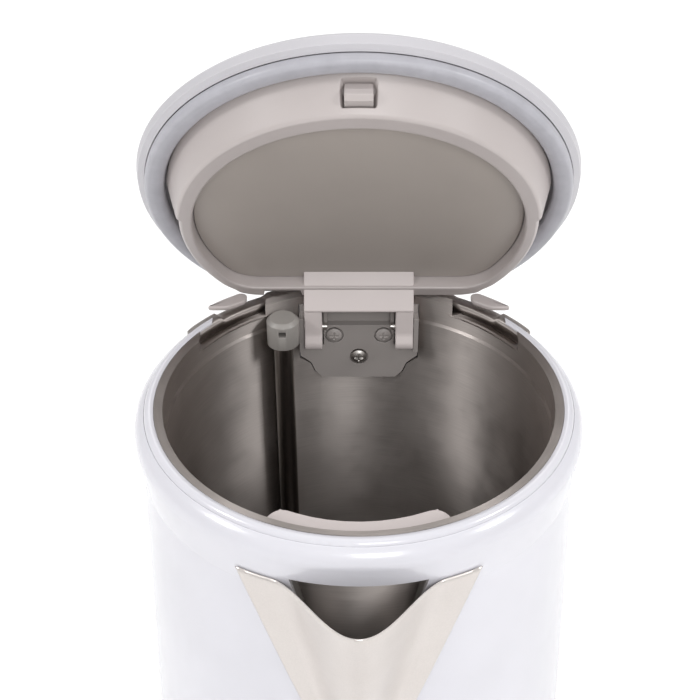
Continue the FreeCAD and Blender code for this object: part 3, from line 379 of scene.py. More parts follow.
@dataclass
class Surface:
    """A mesh as arrays: points in millimetres, and faces of three or four corners."""

    points: np.ndarray
    quads: np.ndarray
    triangles: np.ndarray = field(default_factory=lambda: np.zeros((0, 3), int))

    def joined(self, *others: "Surface") -> "Surface":
        """Return one surface that holds this one and the others."""
        total = self
        for other in others:
            shift = len(total.points)
            total = Surface(np.vstack([total.points, other.points]),
                            np.vstack([total.quads, other.quads + shift]),
                            np.vstack([total.triangles, other.triangles + shift]))
        return total

    def outward(self) -> "Surface":
        """Return the surface with faces turned outwards, by the sign of its volume."""
        split = np.vstack([self.quads[:, [0, 1, 2]], self.quads[:, [0, 2, 3]],
                           self.triangles]).astype(int)
        a, b, c = (self.points[split[:, i]] for i in range(3))
        volume = np.einsum("ij,ij->i", a, np.cross(b, c)).sum()
        if volume >= 0:
            return self
        return Surface(self.points, self.quads[:, ::-1], self.triangles[:, ::-1])

    def moved(self, turn: np.ndarray, shift: np.ndarray) -> "Surface":
        """Return the surface turned by a matrix and then shifted."""
        return Surface(self.points @ turn.T + shift, self.quads, self.triangles)


def stack(loops: np.ndarray, wrap: bool = False) -> Surface:
    """Join closed loops one above another into a closed surface.

    Args:
        loops: Points as loops, points in a loop, and coordinates.
        wrap: Whether the last loop joins the first; if not, each end is closed by a fan.

    Returns:
        The closed surface.
    """
    count, size = loops.shape[:2]
    points = loops.reshape(-1, 3)
    quads = grid_faces(count, size, wrap, True)
    if wrap:
        return Surface(points, quads).outward()
    centres = loops[[0, -1]].mean(axis=1)
    here = np.arange(size)
    after = (here + 1) % size
    first = np.stack([np.full(size, len(points)), after, here], axis=1)
    base = (count - 1) * size
    last = np.stack([np.full(size, len(points) + 1), base + here, base + after], axis=1)
    return Surface(np.vstack([points, centres]), quads, np.vstack([first, last])).outward()


def rounded(corners: np.ndarray, radii: np.ndarray | float, steps: int = 8) -> np.ndarray:
    """Round the corners of a closed outline.

    Each corner is replaced by a parabola that leaves one side and meets the next at the
    given distance from the corner, limited to just under half of the shorter side.

    Args:
        corners: Corners of the outline, two coordinates each.
        radii: Distance from each corner where the rounding starts.
        steps: Number of points on each rounding.

    Returns:
        Points of the rounded outline.
    """
    corners = np.asarray(corners, float)
    before = np.roll(corners, 1, axis=0) - corners
    after = np.roll(corners, -1, axis=0) - corners
    reach_before = np.linalg.norm(before, axis=1)
    reach_after = np.linalg.norm(after, axis=1)
    radii = np.broadcast_to(np.asarray(radii, float), reach_before.shape)
    distance = np.minimum(radii, np.minimum(reach_before, reach_after) * 0.49)
    start = corners + before * (distance / reach_before)[:, None]
    end = corners + after * (distance / reach_after)[:, None]
    t = np.linspace(0.0, 1.0, steps)[None, :, None]
    curve = (start[:, None] * (1 - t) ** 2 + 2 * corners[:, None] * t * (1 - t)
             + end[:, None] * t ** 2)
    return curve.reshape(-1, 2)


def inset(outline: np.ndarray, distance: float) -> np.ndarray:
    """Move a closed outline inwards along its own normals.

    Args:
        outline: Points of the outline, anticlockwise.
        distance: How far to move it.

    Returns:
        The smaller outline, point for point.
    """
    along = np.roll(outline, -1, axis=0) - np.roll(outline, 1, axis=0)
    along /= np.maximum(np.linalg.norm(along, axis=1, keepdims=True), 1e-9)
    normal = np.stack([-along[:, 1], along[:, 0]], axis=1)
    return outline + normal * distance


def anticlockwise(outline: np.ndarray) -> np.ndarray:
    """Return the outline in anticlockwise order."""
    x, y = outline.T
    area = (x * np.roll(y, -1) - np.roll(x, -1) * y).sum()
    return outline if area > 0 else outline[::-1]


def at_height(outline: np.ndarray, height: float) -> np.ndarray:
    """Return a flat outline as points in space at one height."""
    return np.column_stack([outline, np.full(len(outline), height)])


def soft_prism(outline: np.ndarray, low: float, high: float, edge: float,
               steps: int = 5) -> Surface:
    """Raise an outline into a prism with rounded upper and lower edges.

    The section of each edge is a quarter circle: the outline is drawn in by
    edge * (1 - cos a) while the height grows by edge * sin a.

    Args:
        outline: Points of the outline.
        low: Lower height.
        high: Upper height.
        edge: Radius of the rounded edges.
        steps: Number of loops on each edge.

    Returns:
        The closed prism.
    """
    outline = anticlockwise(np.asarray(outline, float))
    angle = np.linspace(math.pi / 2, 0.0, steps)
    draws = np.concatenate([edge * (1 - np.cos(angle)), edge * (1 - np.cos(angle[::-1]))])
    heights = np.concatenate([low + edge * (1 - np.sin(angle)),
                              high - edge * (1 - np.sin(angle[::-1]))])
    loops = np.stack([at_height(inset(outline, draw), height)
                      for draw, height in zip(draws, heights)])
    return stack(loops)


def plate_between(front: np.ndarray, back: np.ndarray) -> Surface:
    """Close the space between two grids of points into a sheet with thickness.

    Args:
        front: Grid of points of one face.
        back: Grid of points of the other face, in the same order.

    Returns:
        The closed sheet.
    """
    rows, columns = front.shape[:2]
    size = rows * columns
    faces = grid_faces(rows, columns, False, False)
    index = np.arange(size).reshape(rows, columns)
    border = np.concatenate([index[0, :-1], index[:-1, -1], index[-1, :0:-1], index[:0:-1, 0]])
    after = np.roll(border, -1)
    sides = np.stack([border, border + size, after + size, after], axis=1)
    points = np.vstack([front.reshape(-1, 3), back.reshape(-1, 3)])
    return Surface(points, np.vstack([faces, faces[:, ::-1] + size, sides])).outward()


# ---------------------------------------------------------------- pieces in the scene
def make_object(name: str, points: np.ndarray, faces: list,
                material: bpy.types.Material) -> bpy.types.Object:
    """Make a smooth mesh from points in millimetres and put it in the scene."""
    mesh = bpy.data.meshes.new(name)
    mesh.from_pydata((points * MM).tolist(), [], faces)
    mesh.update()
    mesh.polygons.foreach_set("use_smooth", np.ones(len(mesh.polygons), bool))
    mesh.materials.append(material)
    made = bpy.data.objects.new(name, mesh)
    bpy.context.scene.collection.objects.link(made)
    return made


def add_piece(name: str, surface: Surface, body: Body, finish: "Finish",
              replaces: tuple[str, ...] = ()) -> bpy.types.Object:
    """Put a surface in the scene as a piece that rides on a body.

    Args:
        name: Name of the piece.
        surface: Its mesh in millimetres.
        body: Body of the part that carries it.
        finish: Finish that makes its material.
        replaces: Nodes that it's shown in place of.

    Returns:
        The object.
    """
    surface = surface.outward()
    faces = surface.quads.tolist() + surface.triangles.tolist()
    piece = make_object(name, surface.points, faces, MATERIALS.get(finish))
    normals = piece.modifiers.new("weighted_normals", "WEIGHTED_NORMAL")
    normals.keep_sharp = True
    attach(piece, body.value)
    if replaces:
        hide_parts(*replaces)
    LOG.info("%s: %d faces", name, len(faces))
    return piece


class MaterialStore:
    """Makes each finish's material once."""

    def __init__(self) -> None:
        """Start with no materials."""
        self.made: dict[str, bpy.types.Material] = {}

    def get(self, finish: "Finish") -> bpy.types.Material:
        """Return the finish's material, making it the first time."""
        if finish.name not in self.made:
            self.made[finish.name] = finish.material()
        return self.made[finish.name]


MATERIALS = MaterialStore()
Finish = MouldedPlastic | Rubber | Metal


@dataclass(frozen=True)
class Dressing:
    """A finish and an edge rounding for nodes shown as they are."""

    finish: Finish
    edge_mm: float = 0.0


def dress_node(node: str, dressing: Dressing) -> None:
    """Give a node its material, and round its edges if asked.

    Args:
        node: Name of the node.
        dressing: Finish and edge rounding.
    """
    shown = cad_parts[node]
    shown.data.materials.clear()
    shown.data.materials.append(MATERIALS.get(dressing.finish))
    if dressing.edge_mm > 0:
        weld = shown.modifiers.new("weld", "WELD")
        weld.merge_threshold = 0.002 * MM
        bevel = shown.modifiers.new("soft_edges", "BEVEL")
        bevel.width = dressing.edge_mm * MM
        bevel.segments = 2
        bevel.limit_method = "ANGLE"
        bevel.angle_limit = math.radians(35)
        bevel.harden_normals = True
    LOG.info("%s dressed in %s", node, dressing.finish.name)


NODE_DRESSINGS: dict[str, Dressing] = {
    "base_cover": Dressing(WHITE_SHELL),
    "base_plate": Dressing(GREY_PLASTIC),
    "base_feet": Dressing(FEET_RUBBER),
    "base_screws": Dressing(SCREW_STEEL),
    "base_hub": Dressing(DARK_PLASTIC),
    "hub_contacts": Dressing(CONTACT_BRASS),
    "cord_gland": Dressing(DARK_PLASTIC),
    "kettle_coupler": Dressing(DARK_PLASTIC),
    "outer_shell": Dressing(WHITE_SHELL),
    "top_collar": Dressing(WHITE_SHELL),
    "inner_liner": Dressing(LINER_STEEL),
    "bottom_cover": Dressing(GREY_PLASTIC),
    "cover_screws": Dressing(SCREW_STEEL),
    "heater_plate": Dressing(CAST_ALUMINIUM),
    "heater_ring": Dressing(SATIN_STEEL),
    "control_unit": Dressing(DARK_PLASTIC),
    "spout_beak": Dressing(SATIN_STEEL),
    "spout_duct": Dressing(GREY_PLASTIC),
    "filter_frame": Dressing(LIGHT_PLASTIC),
    "filter_mesh": Dressing(SATIN_STEEL),
    "hinge_bracket": Dressing(BRACKET_PLASTIC, 0.35),
    "bracket_screws": Dressing(SCREW_STEEL),
    "hinge_pins": Dressing(SCREW_STEEL),
    "steam_tube": Dressing(TUBE_STEEL),
    "tube_cap": Dressing(CAP_PLASTIC, 0.35),
    "rear_cover": Dressing(LIGHT_PLASTIC, 0.35),
    # The lid's white shell is drawn in a darker grey: painted shade.
    "lid_shell": Dressing(SHADED_LID_PLASTIC),
    "lid_seal": Dressing(SEAL_SILICONE),
    "lid_plug": Dressing(LIGHT_PLASTIC),
    "lid_plate": Dressing(PLATE_PLASTIC),
    "lid_arm": Dressing(LIGHT_PLASTIC, 0.35),
    "lid_button": Dressing(LIGHT_PLASTIC, 0.35),
    "latch_bolt": Dressing(LIGHT_PLASTIC, 0.35),
    "handle_shell": Dressing(WHITE_SHELL),
    "handle_grip": Dressing(GREY_PLASTIC),
    "power_lever": Dressing(GREY_PLASTIC, 0.35),
    "lever_pin": Dressing(SCREW_STEEL),
}


# ---------------------------------------------------------------- lid
def smoothstep(value: np.ndarray, low: float, high: float) -> np.ndarray:
    """Return a smooth step from 0 at low to 1 at high."""
    share = np.clip((value - low) / (high - low), 0.0, 1.0)
    return share * share * (3.0 - 2.0 * share)


def d_outline(radius: float, chord: float, corner: float, middle: float = 0.0,
              arc_points: int = 560, corner_points: int = 24,
              chord_points: int = 150) -> np.ndarray:
    """Return a round outline with a straight rear edge and rounded rear corners.

    The outline is an arc of the given radius about (0, middle), then an arc of the corner's
    radius that touches both it and the straight edge, the edge, and the other corner.

    Args:
        radius: Radius of the front arc.
        chord: Distance from the axis to the straight edge.
        corner: Radius of the two corners.
        middle: Place of the front arc's centre along Y.
        arc_points: Points on the front arc.
        corner_points: Points on each corner.
        chord_points: Points on the straight edge.

    Returns:
        Anticlockwise points.
    """
    deep = chord - corner - middle
    half = math.sqrt((radius - corner) ** 2 - deep ** 2)
    lean = math.atan2(deep, half)
    front = np.linspace(-math.pi - lean, lean, arc_points, endpoint=False)
    turn = np.linspace(lean, math.pi / 2, corner_points, endpoint=False)
    back = np.linspace(math.pi / 2, math.pi - lean, corner_points, endpoint=False)
    straight = np.linspace(half, -half, chord_points, endpoint=False)
    return np.vstack([
        np.column_stack([radius * np.cos(front), middle + radius * np.sin(front)]),
        np.column_stack([half + corner * np.cos(turn), chord - corner + corner * np.sin(turn)]),
        np.column_stack([straight, np.full(chord_points, chord)]),
        np.column_stack([-half + corner * np.cos(back),
                         chord - corner + corner * np.sin(back)])])


@dataclass
class Lid:
    """Underside of the lid: seal, tapered plug with its latch slot, and the recessed plate.

    Everything is shaped in its shut place, with heights from the rim, and then swung open.
    """

    pin_setback: float = 54.6
    pin_drop: float = 12.0
    open_angle: float = 64.0
    seal_outer: float = 65.7
    seal_chord: float = 45.2
    seal_corner: float = 3.0
    plug_top: float = 3.9
    plug_low: float = -7.2
    plug_top_radius: float = 59.2
    plug_radius: float = 55.8
    plug_shift: float = 3.8
    plug_chord: float = 42.8
    plug_corner: float = 17.0
    cavity_inset: float = 4.5
    cavity_floor: float = -0.6
    recess_radius: float = 51.2
    recess_shift: float = 4.7
    recess_chord: float = 37.9
    recess_corner: float = 12.0
    recess_depth: float = 5.0
    arm_half: float = 18.2
    arm_gap: float = 12.3
    step_angle: float = -5.0
    slot_half: float = 4.6
    slot_low: float = -4.9
    slot_high: float = 1.7
    slot_depth: float = 3.2
    side_draw: float = 0.9
    side_draw_above_lip: float = 2.2
    lip_low: float = 1.3
    lip_high: float = 1.7
    cap_across: float = -25.2
    cap_half: float = 6.2
    cap_chord: float = 39.6
    cap_top: float = 0.2
    plug_edge: float = 0.9
    recess_edge: float = 0.7
    plate_gap: float = 0.35
    plate_thickness: float = 0.6

    def swung(self, surface: Surface) -> Surface:
        """Return a surface moved from its shut place to its open one."""
        angle = -math.radians(self.open_angle)
        turn = np.array(Matrix.Rotation(angle, 3, "X"))
        pin = np.array([0.0, self.pin_setback, RIM - self.pin_drop])
        lifted = Surface(surface.points + np.array([0.0, 0.0, RIM]), surface.quads,
                         surface.triangles)
        return lifted.moved(turn, pin - turn @ pin)

    def seal(self) -> Surface:
        """Return the seal: a soft ring of D shape with a rounded lower face."""
        section = rounded(np.array([
            [0.0, 4.2], [0.0, 1.7], [0.9, 0.75], [2.9, 0.55], [4.9, 0.9], [6.1, 1.9],
            [6.1, 4.2]]), 0.8, 5)
        loops = np.stack([
            at_height(d_outline(self.seal_outer - draw, self.seal_chord - draw,
                                self.seal_corner, arc_points=260, chord_points=40,
                                corner_points=10), height)
            for draw, height in section])
        return stack(loops, wrap=True)

    def plug_loop(self, height: float, draw: float = 0.0) -> np.ndarray:
        """Return one loop round the plug's wall.

        The radius and the centre run evenly from the top to the lower edge. Behind the step
        the wall is drawn in, and more so above the lower lip. The latch's slot and the way
        for the steam tube's cap are drawn in too.

        Args:
            height: Height above the rim.
            draw: Distance to draw the loop in for the rounding of an edge.

        Returns:
            Points of the loop.
        """
        share = (height - self.plug_low) / (self.plug_top - self.plug_low)
        radius = self.plug_radius + share * (self.plug_top_radius - self.plug_radius)
        middle = self.plug_shift * (1.0 - share)
        outline = d_outline(radius - draw, self.plug_chord - draw, self.plug_corner - draw,
                            middle)
        away = outline - [0.0, middle]
        reach = np.linalg.norm(away, axis=1)
        around = np.degrees(np.arctan2(away[:, 1], np.abs(away[:, 0])))
        side = smoothstep(around, self.step_angle - 1.0, self.step_angle)
        side = side * (1.0 - smoothstep(around, 40.0, 44.0))
        lip = smoothstep(np.float64(height), self.plug_low + self.lip_low,
                         self.plug_low + self.lip_high)
        inwards = side * (self.side_draw + self.side_draw_above_lip * lip)
        if self.slot_low < height < self.slot_high:
            near = np.abs(outline[:, 0]) < self.slot_half
            inwards = np.where(near & (outline[:, 1] < 0), self.slot_depth, inwards)
        outline = [0.0, middle] + away * (1.0 - inwards / reach)[:, None]
        if height < self.cap_top:
            at_cap = np.abs(outline[:, 0] - self.cap_across) < self.cap_half
            outline[:, 1] = np.where(at_cap, np.minimum(outline[:, 1], self.cap_chord),
                                     outline[:, 1])
        return at_height(outline, height)

    def plug(self) -> Surface:
        """Return the plug: out of its cavity, down the wall, across the lip, into the recess."""
        edge = self.plug_edge
        bend = np.linspace(0.0, math.pi / 2, 6)
        heights = np.concatenate([np.linspace(self.plug_top, self.slot_high + 0.05, 6),
                                  [self.slot_high - 0.05],
                                  np.linspace(self.slot_high - 0.2, self.slot_low + 0.2, 12),
                                  [self.slot_low + 0.05, self.slot_low - 0.05],
                                  np.linspace(-5.3, self.plug_low + edge, 6)])
        brim = self.plug_loop(self.plug_top, self.cavity_inset)
        cavity = brim - [0.0, 0.0, self.plug_top - self.cavity_floor]
        loops = [cavity, brim] + [self.plug_loop(height) for height in heights]
        loops += [self.plug_loop(self.plug_low + edge * (1 - math.sin(a)),
                                 edge * (1 - math.cos(a))) for a in bend[1:]]
        floor = self.plug_low + self.recess_depth
        soft = self.recess_edge
        path = [(soft * (1 - math.sin(a)), self.plug_low + soft * (1 - math.cos(a)))
                for a in np.linspace(0, math.pi / 2, 5)]
        path += [(0.0, floor - 0.3), (-0.1, floor + 0.9)]
        for grow, height in path:
            outline = d_outline(self.recess_radius + grow, self.recess_chord + grow,
                                self.recess_corner + grow, self.recess_shift)
            loops.append(at_height(outline, height))
        return stack(np.stack(loops))

    def plate(self) -> Surface:
        """Return the plate in the recess."""
        outline = d_outline(self.recess_radius - self.plate_gap,
                            self.recess_chord - self.plate_gap, self.recess_corner,
                            self.recess_shift, 220, 14, 40)
        floor = self.plug_low + self.recess_depth
        return soft_prism(outline, floor - self.plate_thickness, floor, 0.2)

    def arm(self) -> Surface:
        """Return the hinge arm: a soft block with two legs round the pin."""
        block = np.array([[34.4, -2.4], [44.0, -12.8], [45.4, -12.0], [45.4, -7.3],
                          [38.4, -2.4]])
        leg = np.array([[42.0, -8.2], [43.2, -11.9], [48.3, -14.4], [52.6, -16.6],
                        [55.0, -19.2], [57.0, -19.8], [58.4, -18.6], [59.2, -14.8],
                        [57.3, -10.6], [56.0, -9.2], [48.0, -7.3]])
        turn = np.array([[0.0, 0.0, 1.0], [1.0, 0.0, 0.0], [0.0, 1.0, 0.0]])
        origin = np.zeros(3)
        half, gap = self.arm_half, self.arm_gap
        pieces = [soft_prism(rounded(block, 0.7, 6), -half, half, 0.5).moved(turn, origin)]
        for low, high in ((-half, -gap), (gap, half)):
            pieces.append(soft_prism(rounded(leg, 0.9, 6), low, high, 0.5).moved(turn, origin))
        return pieces[0].joined(*pieces[1:])

    def build(self) -> None:
        """Add the pieces of the lid."""
        add_piece("arm", self.swung(self.arm()), Body.LID, PALE_PLASTIC, ("lid_arm",))
        add_piece("seal", self.swung(self.seal()), Body.LID, SEAL_SILICONE, ("lid_seal",))
        add_piece("plug", self.swung(self.plug()), Body.LID, LIGHT_PLASTIC, ("lid_plug",))
        add_piece("plate", self.swung(self.plate()), Body.LID, PLATE_PLASTIC, ("lid_plate",))


# ---------------------------------------------------------------- spout
@dataclass
class Spout:
    """The steel beak: a V-shaped sheet that hugs the wall and folds out into a channel."""

    half_width: float = 33.6
    drop: float = 14.5
    length: float = 80.0
    reach: float = 17.7
    thickness: float = 0.9
    tip_half: float = 3.0
    neck_radius: float = 66.0
    neck_height: float = 204.0
    foot_radius: float = 71.3
    foot_height: float = 30.0
    clearance: float = 0.45
    lip_clearance: float = 0.45
    channel_share: float = 0.72
    border: float = 0.9

    def grid(self, rows: int = 90, columns: int = 161) -> np.ndarray:
        """Return the inner face of the sheet.

        At level v (0 at the lip, 1 at the lower tip) and share u (-1 to 1 across), the sheet
        lies on the kettle's wall and is pushed outwards by reach * (1 - v) times half of
        1 + cos(pi * |u| / channel_share), which is the channel.
        """
        level = np.linspace(0.0, 1.0, rows)[:, None]
        across = np.linspace(-1.0, 1.0, columns)[None, :]
        height = RIM - self.drop - level * self.length
        half = self.half_width * (1.0 - level) + self.tip_half * level
        share = (self.neck_height - height) / (self.neck_height - self.foot_height)
        wall = self.neck_radius + share * (self.foot_radius - self.neck_radius)
        wall = wall + self.clearance
        wall = wall + self.lip_clearance * (1.0 - smoothstep(level, 0.0, 0.25))
        bend = np.minimum(np.abs(across) / self.channel_share, 1.0)
        wave = 0.5 * (1.0 + np.cos(np.pi * bend))
        x = half * across
        y = -np.sqrt(wall ** 2 - x ** 2) - self.reach * (1.0 - level) * wave
        return np.stack([x, y, np.broadcast_to(height, x.shape)], axis=-1)

    def sheet(self) -> Surface:
        """Return the sheet with thickness, thinned to a round edge along its borders."""
        back = self.grid()
        along = np.gradient(back, axis=1)
        down = np.gradient(back, axis=0)
        normal = np.cross(along, down)
        normal /= np.linalg.norm(normal, axis=-1, keepdims=True)
        normal *= np.sign(-normal[..., 1:2])
        rows, columns = back.shape[:2]
        step = self.length / (rows - 1)
        from_top = np.arange(rows)[:, None] * step
        from_side = (1.0 - np.abs(np.linspace(-1.0, 1.0, columns)))[None, :] * 30.0
        near = np.minimum(from_top, np.minimum(from_side, from_top[::-1]))
        inside = np.clip(near / self.border, 0.0, 1.0)
        thin = np.sqrt(np.clip(1.0 - (1.0 - inside) ** 2, 0.04, 1.0))
        centre = back + normal * self.thickness * 0.5
        offset = normal * (self.thickness * 0.5 * thin)[..., None]
        return plate_between(centre + offset, centre - offset)

    def build(self) -> None:
        """Add the beak."""
        add_piece("beak", self.sheet(), Body.KETTLE, SATIN_STEEL, ("spout_beak",))


# ---------------------------------------------------------------- filter
@dataclass
class Filter:
    """Curved plastic frame of the filter behind the beak."""

    inner: float = 45.5
    outer: float = 57.7
    half_angle: float = 30.6
    drop: float = 9.4
    depth: float = 40.0
    strip: float = 1.8
    end_radius: float = 5.5
    post_turn_in: float = 2.5
    post_half_width: float = 1.0
    post_half_depth: float = 0.65
    post_inwards: float = 0.7
    post_overlap: float = 0.6

    def band(self, low: float, high: float, inner: float, outer: float) -> Surface:
        """Return a curved strip with round ends.

        A rounded rectangle of arc length by radius is bent round the axis: its length
        becomes an angle, with zero at the front.
        """
        half = math.radians(self.half_angle) * self.outer
        middle = (inner + outer) / 2
        deep = (outer - inner) / 2
        corners = np.array([[-half, -deep], [half, -deep], [half, deep], [-half, deep]])
        outline = rounded(corners, min(deep, self.end_radius), 12)
        closed = np.vstack([outline, outline[:1]])
        share = np.linspace(0.0, len(outline), 400, endpoint=False)
        flat = np.column_stack([np.interp(share, np.arange(len(closed)), closed[:, i])
                                for i in range(2)])
        block = soft_prism(flat, low, high, 0.5)
        angle = block.points[:, 0] / self.outer
        radius = block.points[:, 1] + middle
        bent = np.column_stack([radius * np.sin(angle), -radius * np.cos(angle),
                                block.points[:, 2]])
        return Surface(bent, block.quads, block.triangles).outward()

    def build(self) -> None:
        """Add the frame: two strips and three posts."""
        top = RIM - self.drop
        low = top - self.depth
        upper = self.band(top - self.strip, top, self.inner, self.outer)
        lower = self.band(low, low + self.strip, self.inner, self.outer)
        posts = []
        wide, deep = self.post_half_width, self.post_half_depth
        outline = rounded(np.array([[-wide, -deep], [wide, -deep], [wide, deep],
                                    [-wide, deep]]), 0.4, 5)
        post = soft_prism(outline, low + self.post_overlap, top - self.post_overlap, 0.2)
        side = math.radians(self.half_angle - self.post_turn_in)
        for turn in (-side, 0.0, side):
            cos, sin = math.cos(turn), math.sin(turn)
            matrix = np.array([[cos, -sin, 0], [sin, cos, 0], [0, 0, 1]])
            away = matrix @ np.array([0.0, -self.inner - self.post_inwards, 0.0])
            posts.append(post.moved(matrix, away))
        add_piece("filter_frame_soft", upper.joined(lower, *posts), Body.FILTER,
                  PALE_PLASTIC, ("filter_frame",))


# ---------------------------------------------------------------- rear edge and hinge
@dataclass
class RearEdge:
    """Bar over the rear of the rim, the sills under it, and a flat wing on each side."""

    bar_inner: float = 61.4
    bar_outer: float = 66.0
    half_angle: float = 58.5
    sill_start: float = 30.5
    sill_overlap: float = 0.6
    sill_inner: float = 58.5
    sill_low: float = -5.05
    sill_top: float = -4.74
    low_drop: float = 4.95
    top_drop: float = 0.2
    step: float = 1.2
    step_inner: float = 32.5
    step_outer: float = 47.0
    wing_top: float = 1.2

    @staticmethod
    def along(angle: np.ndarray, radius: np.ndarray | float,
              height: np.ndarray | float) -> np.ndarray:
        """Return points at (radius * sin, radius * cos, height) of angles from the rear."""
        return np.column_stack([radius * np.sin(angle), radius * np.cos(angle),
                                np.broadcast_to(height, angle.shape)])

    def bar(self, points: int = 120) -> Surface:
        """Return the curved bar, thinner where the plug's corners swing over it."""
        angle = np.radians(np.linspace(-self.half_angle, self.half_angle, points))
        ends = np.sqrt(np.clip(1.0 - np.linspace(-1.0, 1.0, points) ** 60, 0.03, 1.0))
        across = self.bar_outer * np.abs(np.sin(angle))
        low_part = smoothstep(across, self.step_inner - 1.2, self.step_inner)
        low_part = low_part * (1.0 - smoothstep(across, self.step_outer, self.step_outer + 1.0))
        top = RIM - self.top_drop - self.step * low_part
        middle = (self.bar_inner + self.bar_outer) / 2
        half = (self.bar_outer - self.bar_inner) / 2 * ends
        low = RIM - self.low_drop
        section = [(-1.0, 0.0), (1.0, 0.0), (1.0, 0.85), (0.6, 1.0), (-0.6, 1.0), (-1.0, 0.85)]
        loops = []
        for side, height in section:
            radius = middle + side * half
            loops.append(self.along(angle, radius, low + height * (top - low)))
        return stack(np.stack(loops, axis=1))

    def sill(self, points: int = 60) -> Surface:
        """Return the two thin steel floors of the slots in the liner's rim."""
        floors = []
        for side in (-1.0, 1.0):
            angle = side * np.radians(np.linspace(self.sill_start, self.half_angle, points))
            outer = self.bar_inner + self.sill_overlap
            section = [(self.sill_inner, self.sill_low), (outer, self.sill_low),
                       (outer, self.sill_top), (self.sill_inner, self.sill_top)]
            loops = [self.along(angle, radius, RIM + height) for radius, height in section]
            floors.append(stack(np.stack(loops, axis=1)))
        return floors[0].joined(floors[1])

    def wing(self, side: float) -> Surface:
        """Return one wing: a soft tab beyond the lid's straight edge.

        Args:
            side: -1 for the left wing and 1 for the right one.
        """
        outline = rounded(np.array([[37.2, 50.4], [43.0, 46.5], [48.2, 46.4], [49.8, 46.9],
                                    [45.8, 50.6], [39.6, 55.2], [37.0, 54.2]]), 1.8, 7)
        outline = outline * [side, 1.0]
        return soft_prism(outline, RIM - 0.5, RIM + self.wing_top, 0.6)

    def build(self) -> None:
        """Add the bar and the wings."""
        add_piece("rear_bar", self.bar(), Body.KETTLE, LINER_STEEL, ("rear_cover",))
        add_piece("rim_sills", self.sill(), Body.KETTLE, LINER_STEEL)
        wings = self.wing(-1.0).joined(self.wing(1.0))
        add_piece("rear_wings", wings, Body.KETTLE, LIGHT_PLASTIC)


@dataclass
class HingeScrews:
    """Three dome heads on the bracket: two of its own colour and one of bare metal."""

    face: float = 55.6
    upper: tuple[float, float] = (8.4, -16.4)
    lower_drop: float = 25.3
    upper_size: tuple[float, float] = (2.6, 0.7)
    lower_size: tuple[float, float] = (2.7, 0.9)
    cross_half: float = 0.22
    cross_fade: float = 0.42
    cross_reach: float = 0.55
    cross_depth: float = 0.5

    def dome(self, x: float, height: float, radius: float, rise: float) -> Surface:
        """Return a dome head with a cross recess pressed into it.

        The section is a circle's cap, rise * (1 - (r / radius)^2), and the cross is a
        shallow dip along two lines.

        Args:
            x: Place across.
            height: Height from the rim.
            radius: Radius of the head.
            rise: Height of the dome in front of the bracket.
        """
        share = np.concatenate([np.linspace(0.03, 0.94, 16), [1.0, 1.0]])
        angle = np.linspace(0.0, math.tau, 72, endpoint=False)
        across = share[:, None] * radius * np.cos(angle)
        up = share[:, None] * radius * np.sin(angle)
        bulge = rise * (1.0 - share[:, None] ** 2) + 0.25
        arm = np.minimum(np.abs(across), np.abs(up))
        cross = 1.0 - smoothstep(arm, self.cross_half, self.cross_fade)
        cross = cross * (share[:, None] < self.cross_reach)
        front = self.face - bulge + self.cross_depth * cross
        front[-1] = self.face + 0.8
        return stack(np.stack([x + across, front, RIM + height + up], axis=-1))

    def build(self) -> None:
        """Add the three heads."""
        across, height = self.upper
        left, right = (self.dome(x, height, *self.upper_size) for x in (-across, across))
        pair = left.joined(right)
        add_piece("bracket_domes", pair, Body.KETTLE, BRACKET_PLASTIC)
        lower = self.dome(0.0, -self.lower_drop, *self.lower_size)
        add_piece("bracket_screw", lower, Body.KETTLE, SCREW_STEEL, ("bracket_screws",))


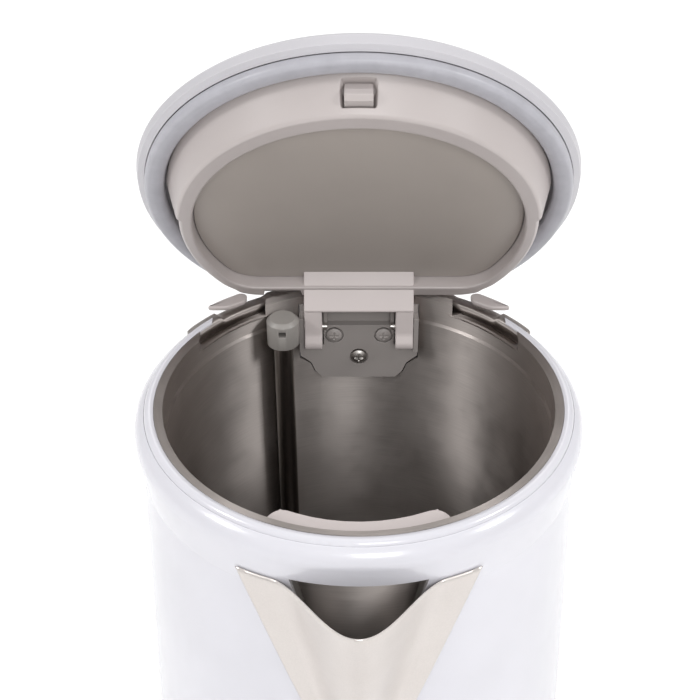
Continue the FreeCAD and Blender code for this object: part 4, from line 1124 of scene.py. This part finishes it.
# ---------------------------------------------------------------- studio
@dataclass
class Studio:
    """Pale floor, soft lights and the camera."""

    floor_half: float = 6000.0
    camera_place: tuple[float, float, float] = (0.0, -334.8, 477.6)
    camera_pitch: float = 54.72
    camera_view: float = 28.2
    camera_shift: float = -0.0126
    world_strength: float = 0.74
    backdrop_bend: float = 1500.0
    backdrop_start: float = 2500.0

    def floor(self) -> None:
        """Lay a wide floor whose far side curves up into a backdrop.

        The height is zero in front and then a quarter circle, so there's no horizon line.
        """
        across = np.linspace(-self.floor_half, self.floor_half, 24)
        bend, start = self.backdrop_bend, self.backdrop_start
        angle = np.linspace(0.0, math.pi / 2, 24)
        depth = np.concatenate([np.linspace(-self.floor_half, start, 12)[:-1],
                                start + bend * np.sin(angle), [start + bend]])
        height = np.concatenate([np.zeros(11), bend * (1 - np.cos(angle)), [bend * 4.0]])
        x = np.broadcast_to(across[None, :], (len(depth), len(across)))
        grid = np.stack([x, np.broadcast_to(depth[:, None], x.shape),
                         np.broadcast_to(height[:, None], x.shape)], axis=-1)
        material, tree, shader, place = new_material("floor")
        tone = blend_colours(tree, spread(tree, noise(tree, place, 400.0), 0.0, 1.0),
                             linear("#f4f4f4"), linear("#f8f8f8"))
        tree.links.new(tone, shader.inputs["Base Color"])
        shader.inputs["Roughness"].default_value = 0.85
        faces = grid_faces(*grid.shape[:2], False, False).tolist()
        make_object("floor", grid.reshape(-1, 3), faces, material)

    def light(self, name: str, place: tuple[float, float, float], size: float, power: float,
              target: tuple[float, float, float] = (0.0, 0.0, 200.0)) -> None:
        """Add a square soft light.

        Args:
            name: Name of the light.
            place: Its place in millimetres.
            size: Side of the light in millimetres.
            power: Power in watts.
            target: Point that it faces.
        """
        lamp = bpy.data.lights.new(name, "AREA")
        lamp.size = size * MM
        lamp.energy = power
        holder = bpy.data.objects.new(name, lamp)
        holder.location = Vector(place) * MM
        aim = (Vector(target) - Vector(place)).normalized()
        holder.rotation_euler = aim.to_track_quat("-Z", "Y").to_euler()
        bpy.context.scene.collection.objects.link(holder)

    def world(self) -> None:
        """Fill the surroundings with an even pale light."""
        world = bpy.data.worlds.new("studio")
        world.use_nodes = True
        tree = world.node_tree
        tree.nodes.clear()
        back = add_node(tree, "ShaderNodeBackground",
                        {"Color": (1, 1, 1, 1), "Strength": self.world_strength})
        add_node(tree, "ShaderNodeOutputWorld", links={"Surface": back.outputs["Background"]})
        bpy.context.scene.world = world

    def camera(self) -> None:
        """Place the camera in front of the kettle and above it."""
        data = bpy.data.cameras.new("camera")
        data.sensor_width = 36.0
        data.lens = 18.0 / math.tan(math.radians(self.camera_view) / 2)
        data.shift_x = self.camera_shift
        data.clip_start = 0.01
        data.clip_end = 50.0
        holder = bpy.data.objects.new("camera", data)
        holder.location = Vector(self.camera_place) * MM
        holder.rotation_euler = (math.radians(self.camera_pitch), 0.0, 0.0)
        bpy.context.scene.collection.objects.link(holder)
        bpy.context.scene.camera = holder

    def build(self) -> None:
        """Set up the floor, the lights and the camera."""
        bpy.context.scene.view_settings.view_transform = "Standard"
        self.floor()
        self.world()
        self.light("left", (-900.0, -330.0, 900.0), 240.0, 4.0)
        self.light("right", (900.0, -330.0, 900.0), 240.0, 4.0)
        self.light("front", (200.0, -1300.0, 1000.0), 500.0, 6.5)
        self.light("above", (0.0, 100.0, 1500.0), 900.0, 2.0)
        self.light("backdrop", (0.0, 1500.0, 1500.0), 1200.0, 12.0, (0.0, 1500.0, 0.0))
        self.camera()


def main() -> None:
    """Build every piece, dress every node and set up the studio."""
    logging.basicConfig(level=logging.INFO, format="%(name)s %(message)s")
    for node, dressing in NODE_DRESSINGS.items():
        dress_node(node, dressing)
    for assembly in (Lid(), Spout(), Filter(), RearEdge(), HingeScrews()):
        assembly.build()
    Studio().build()


if __name__ == "__main__":
    main()
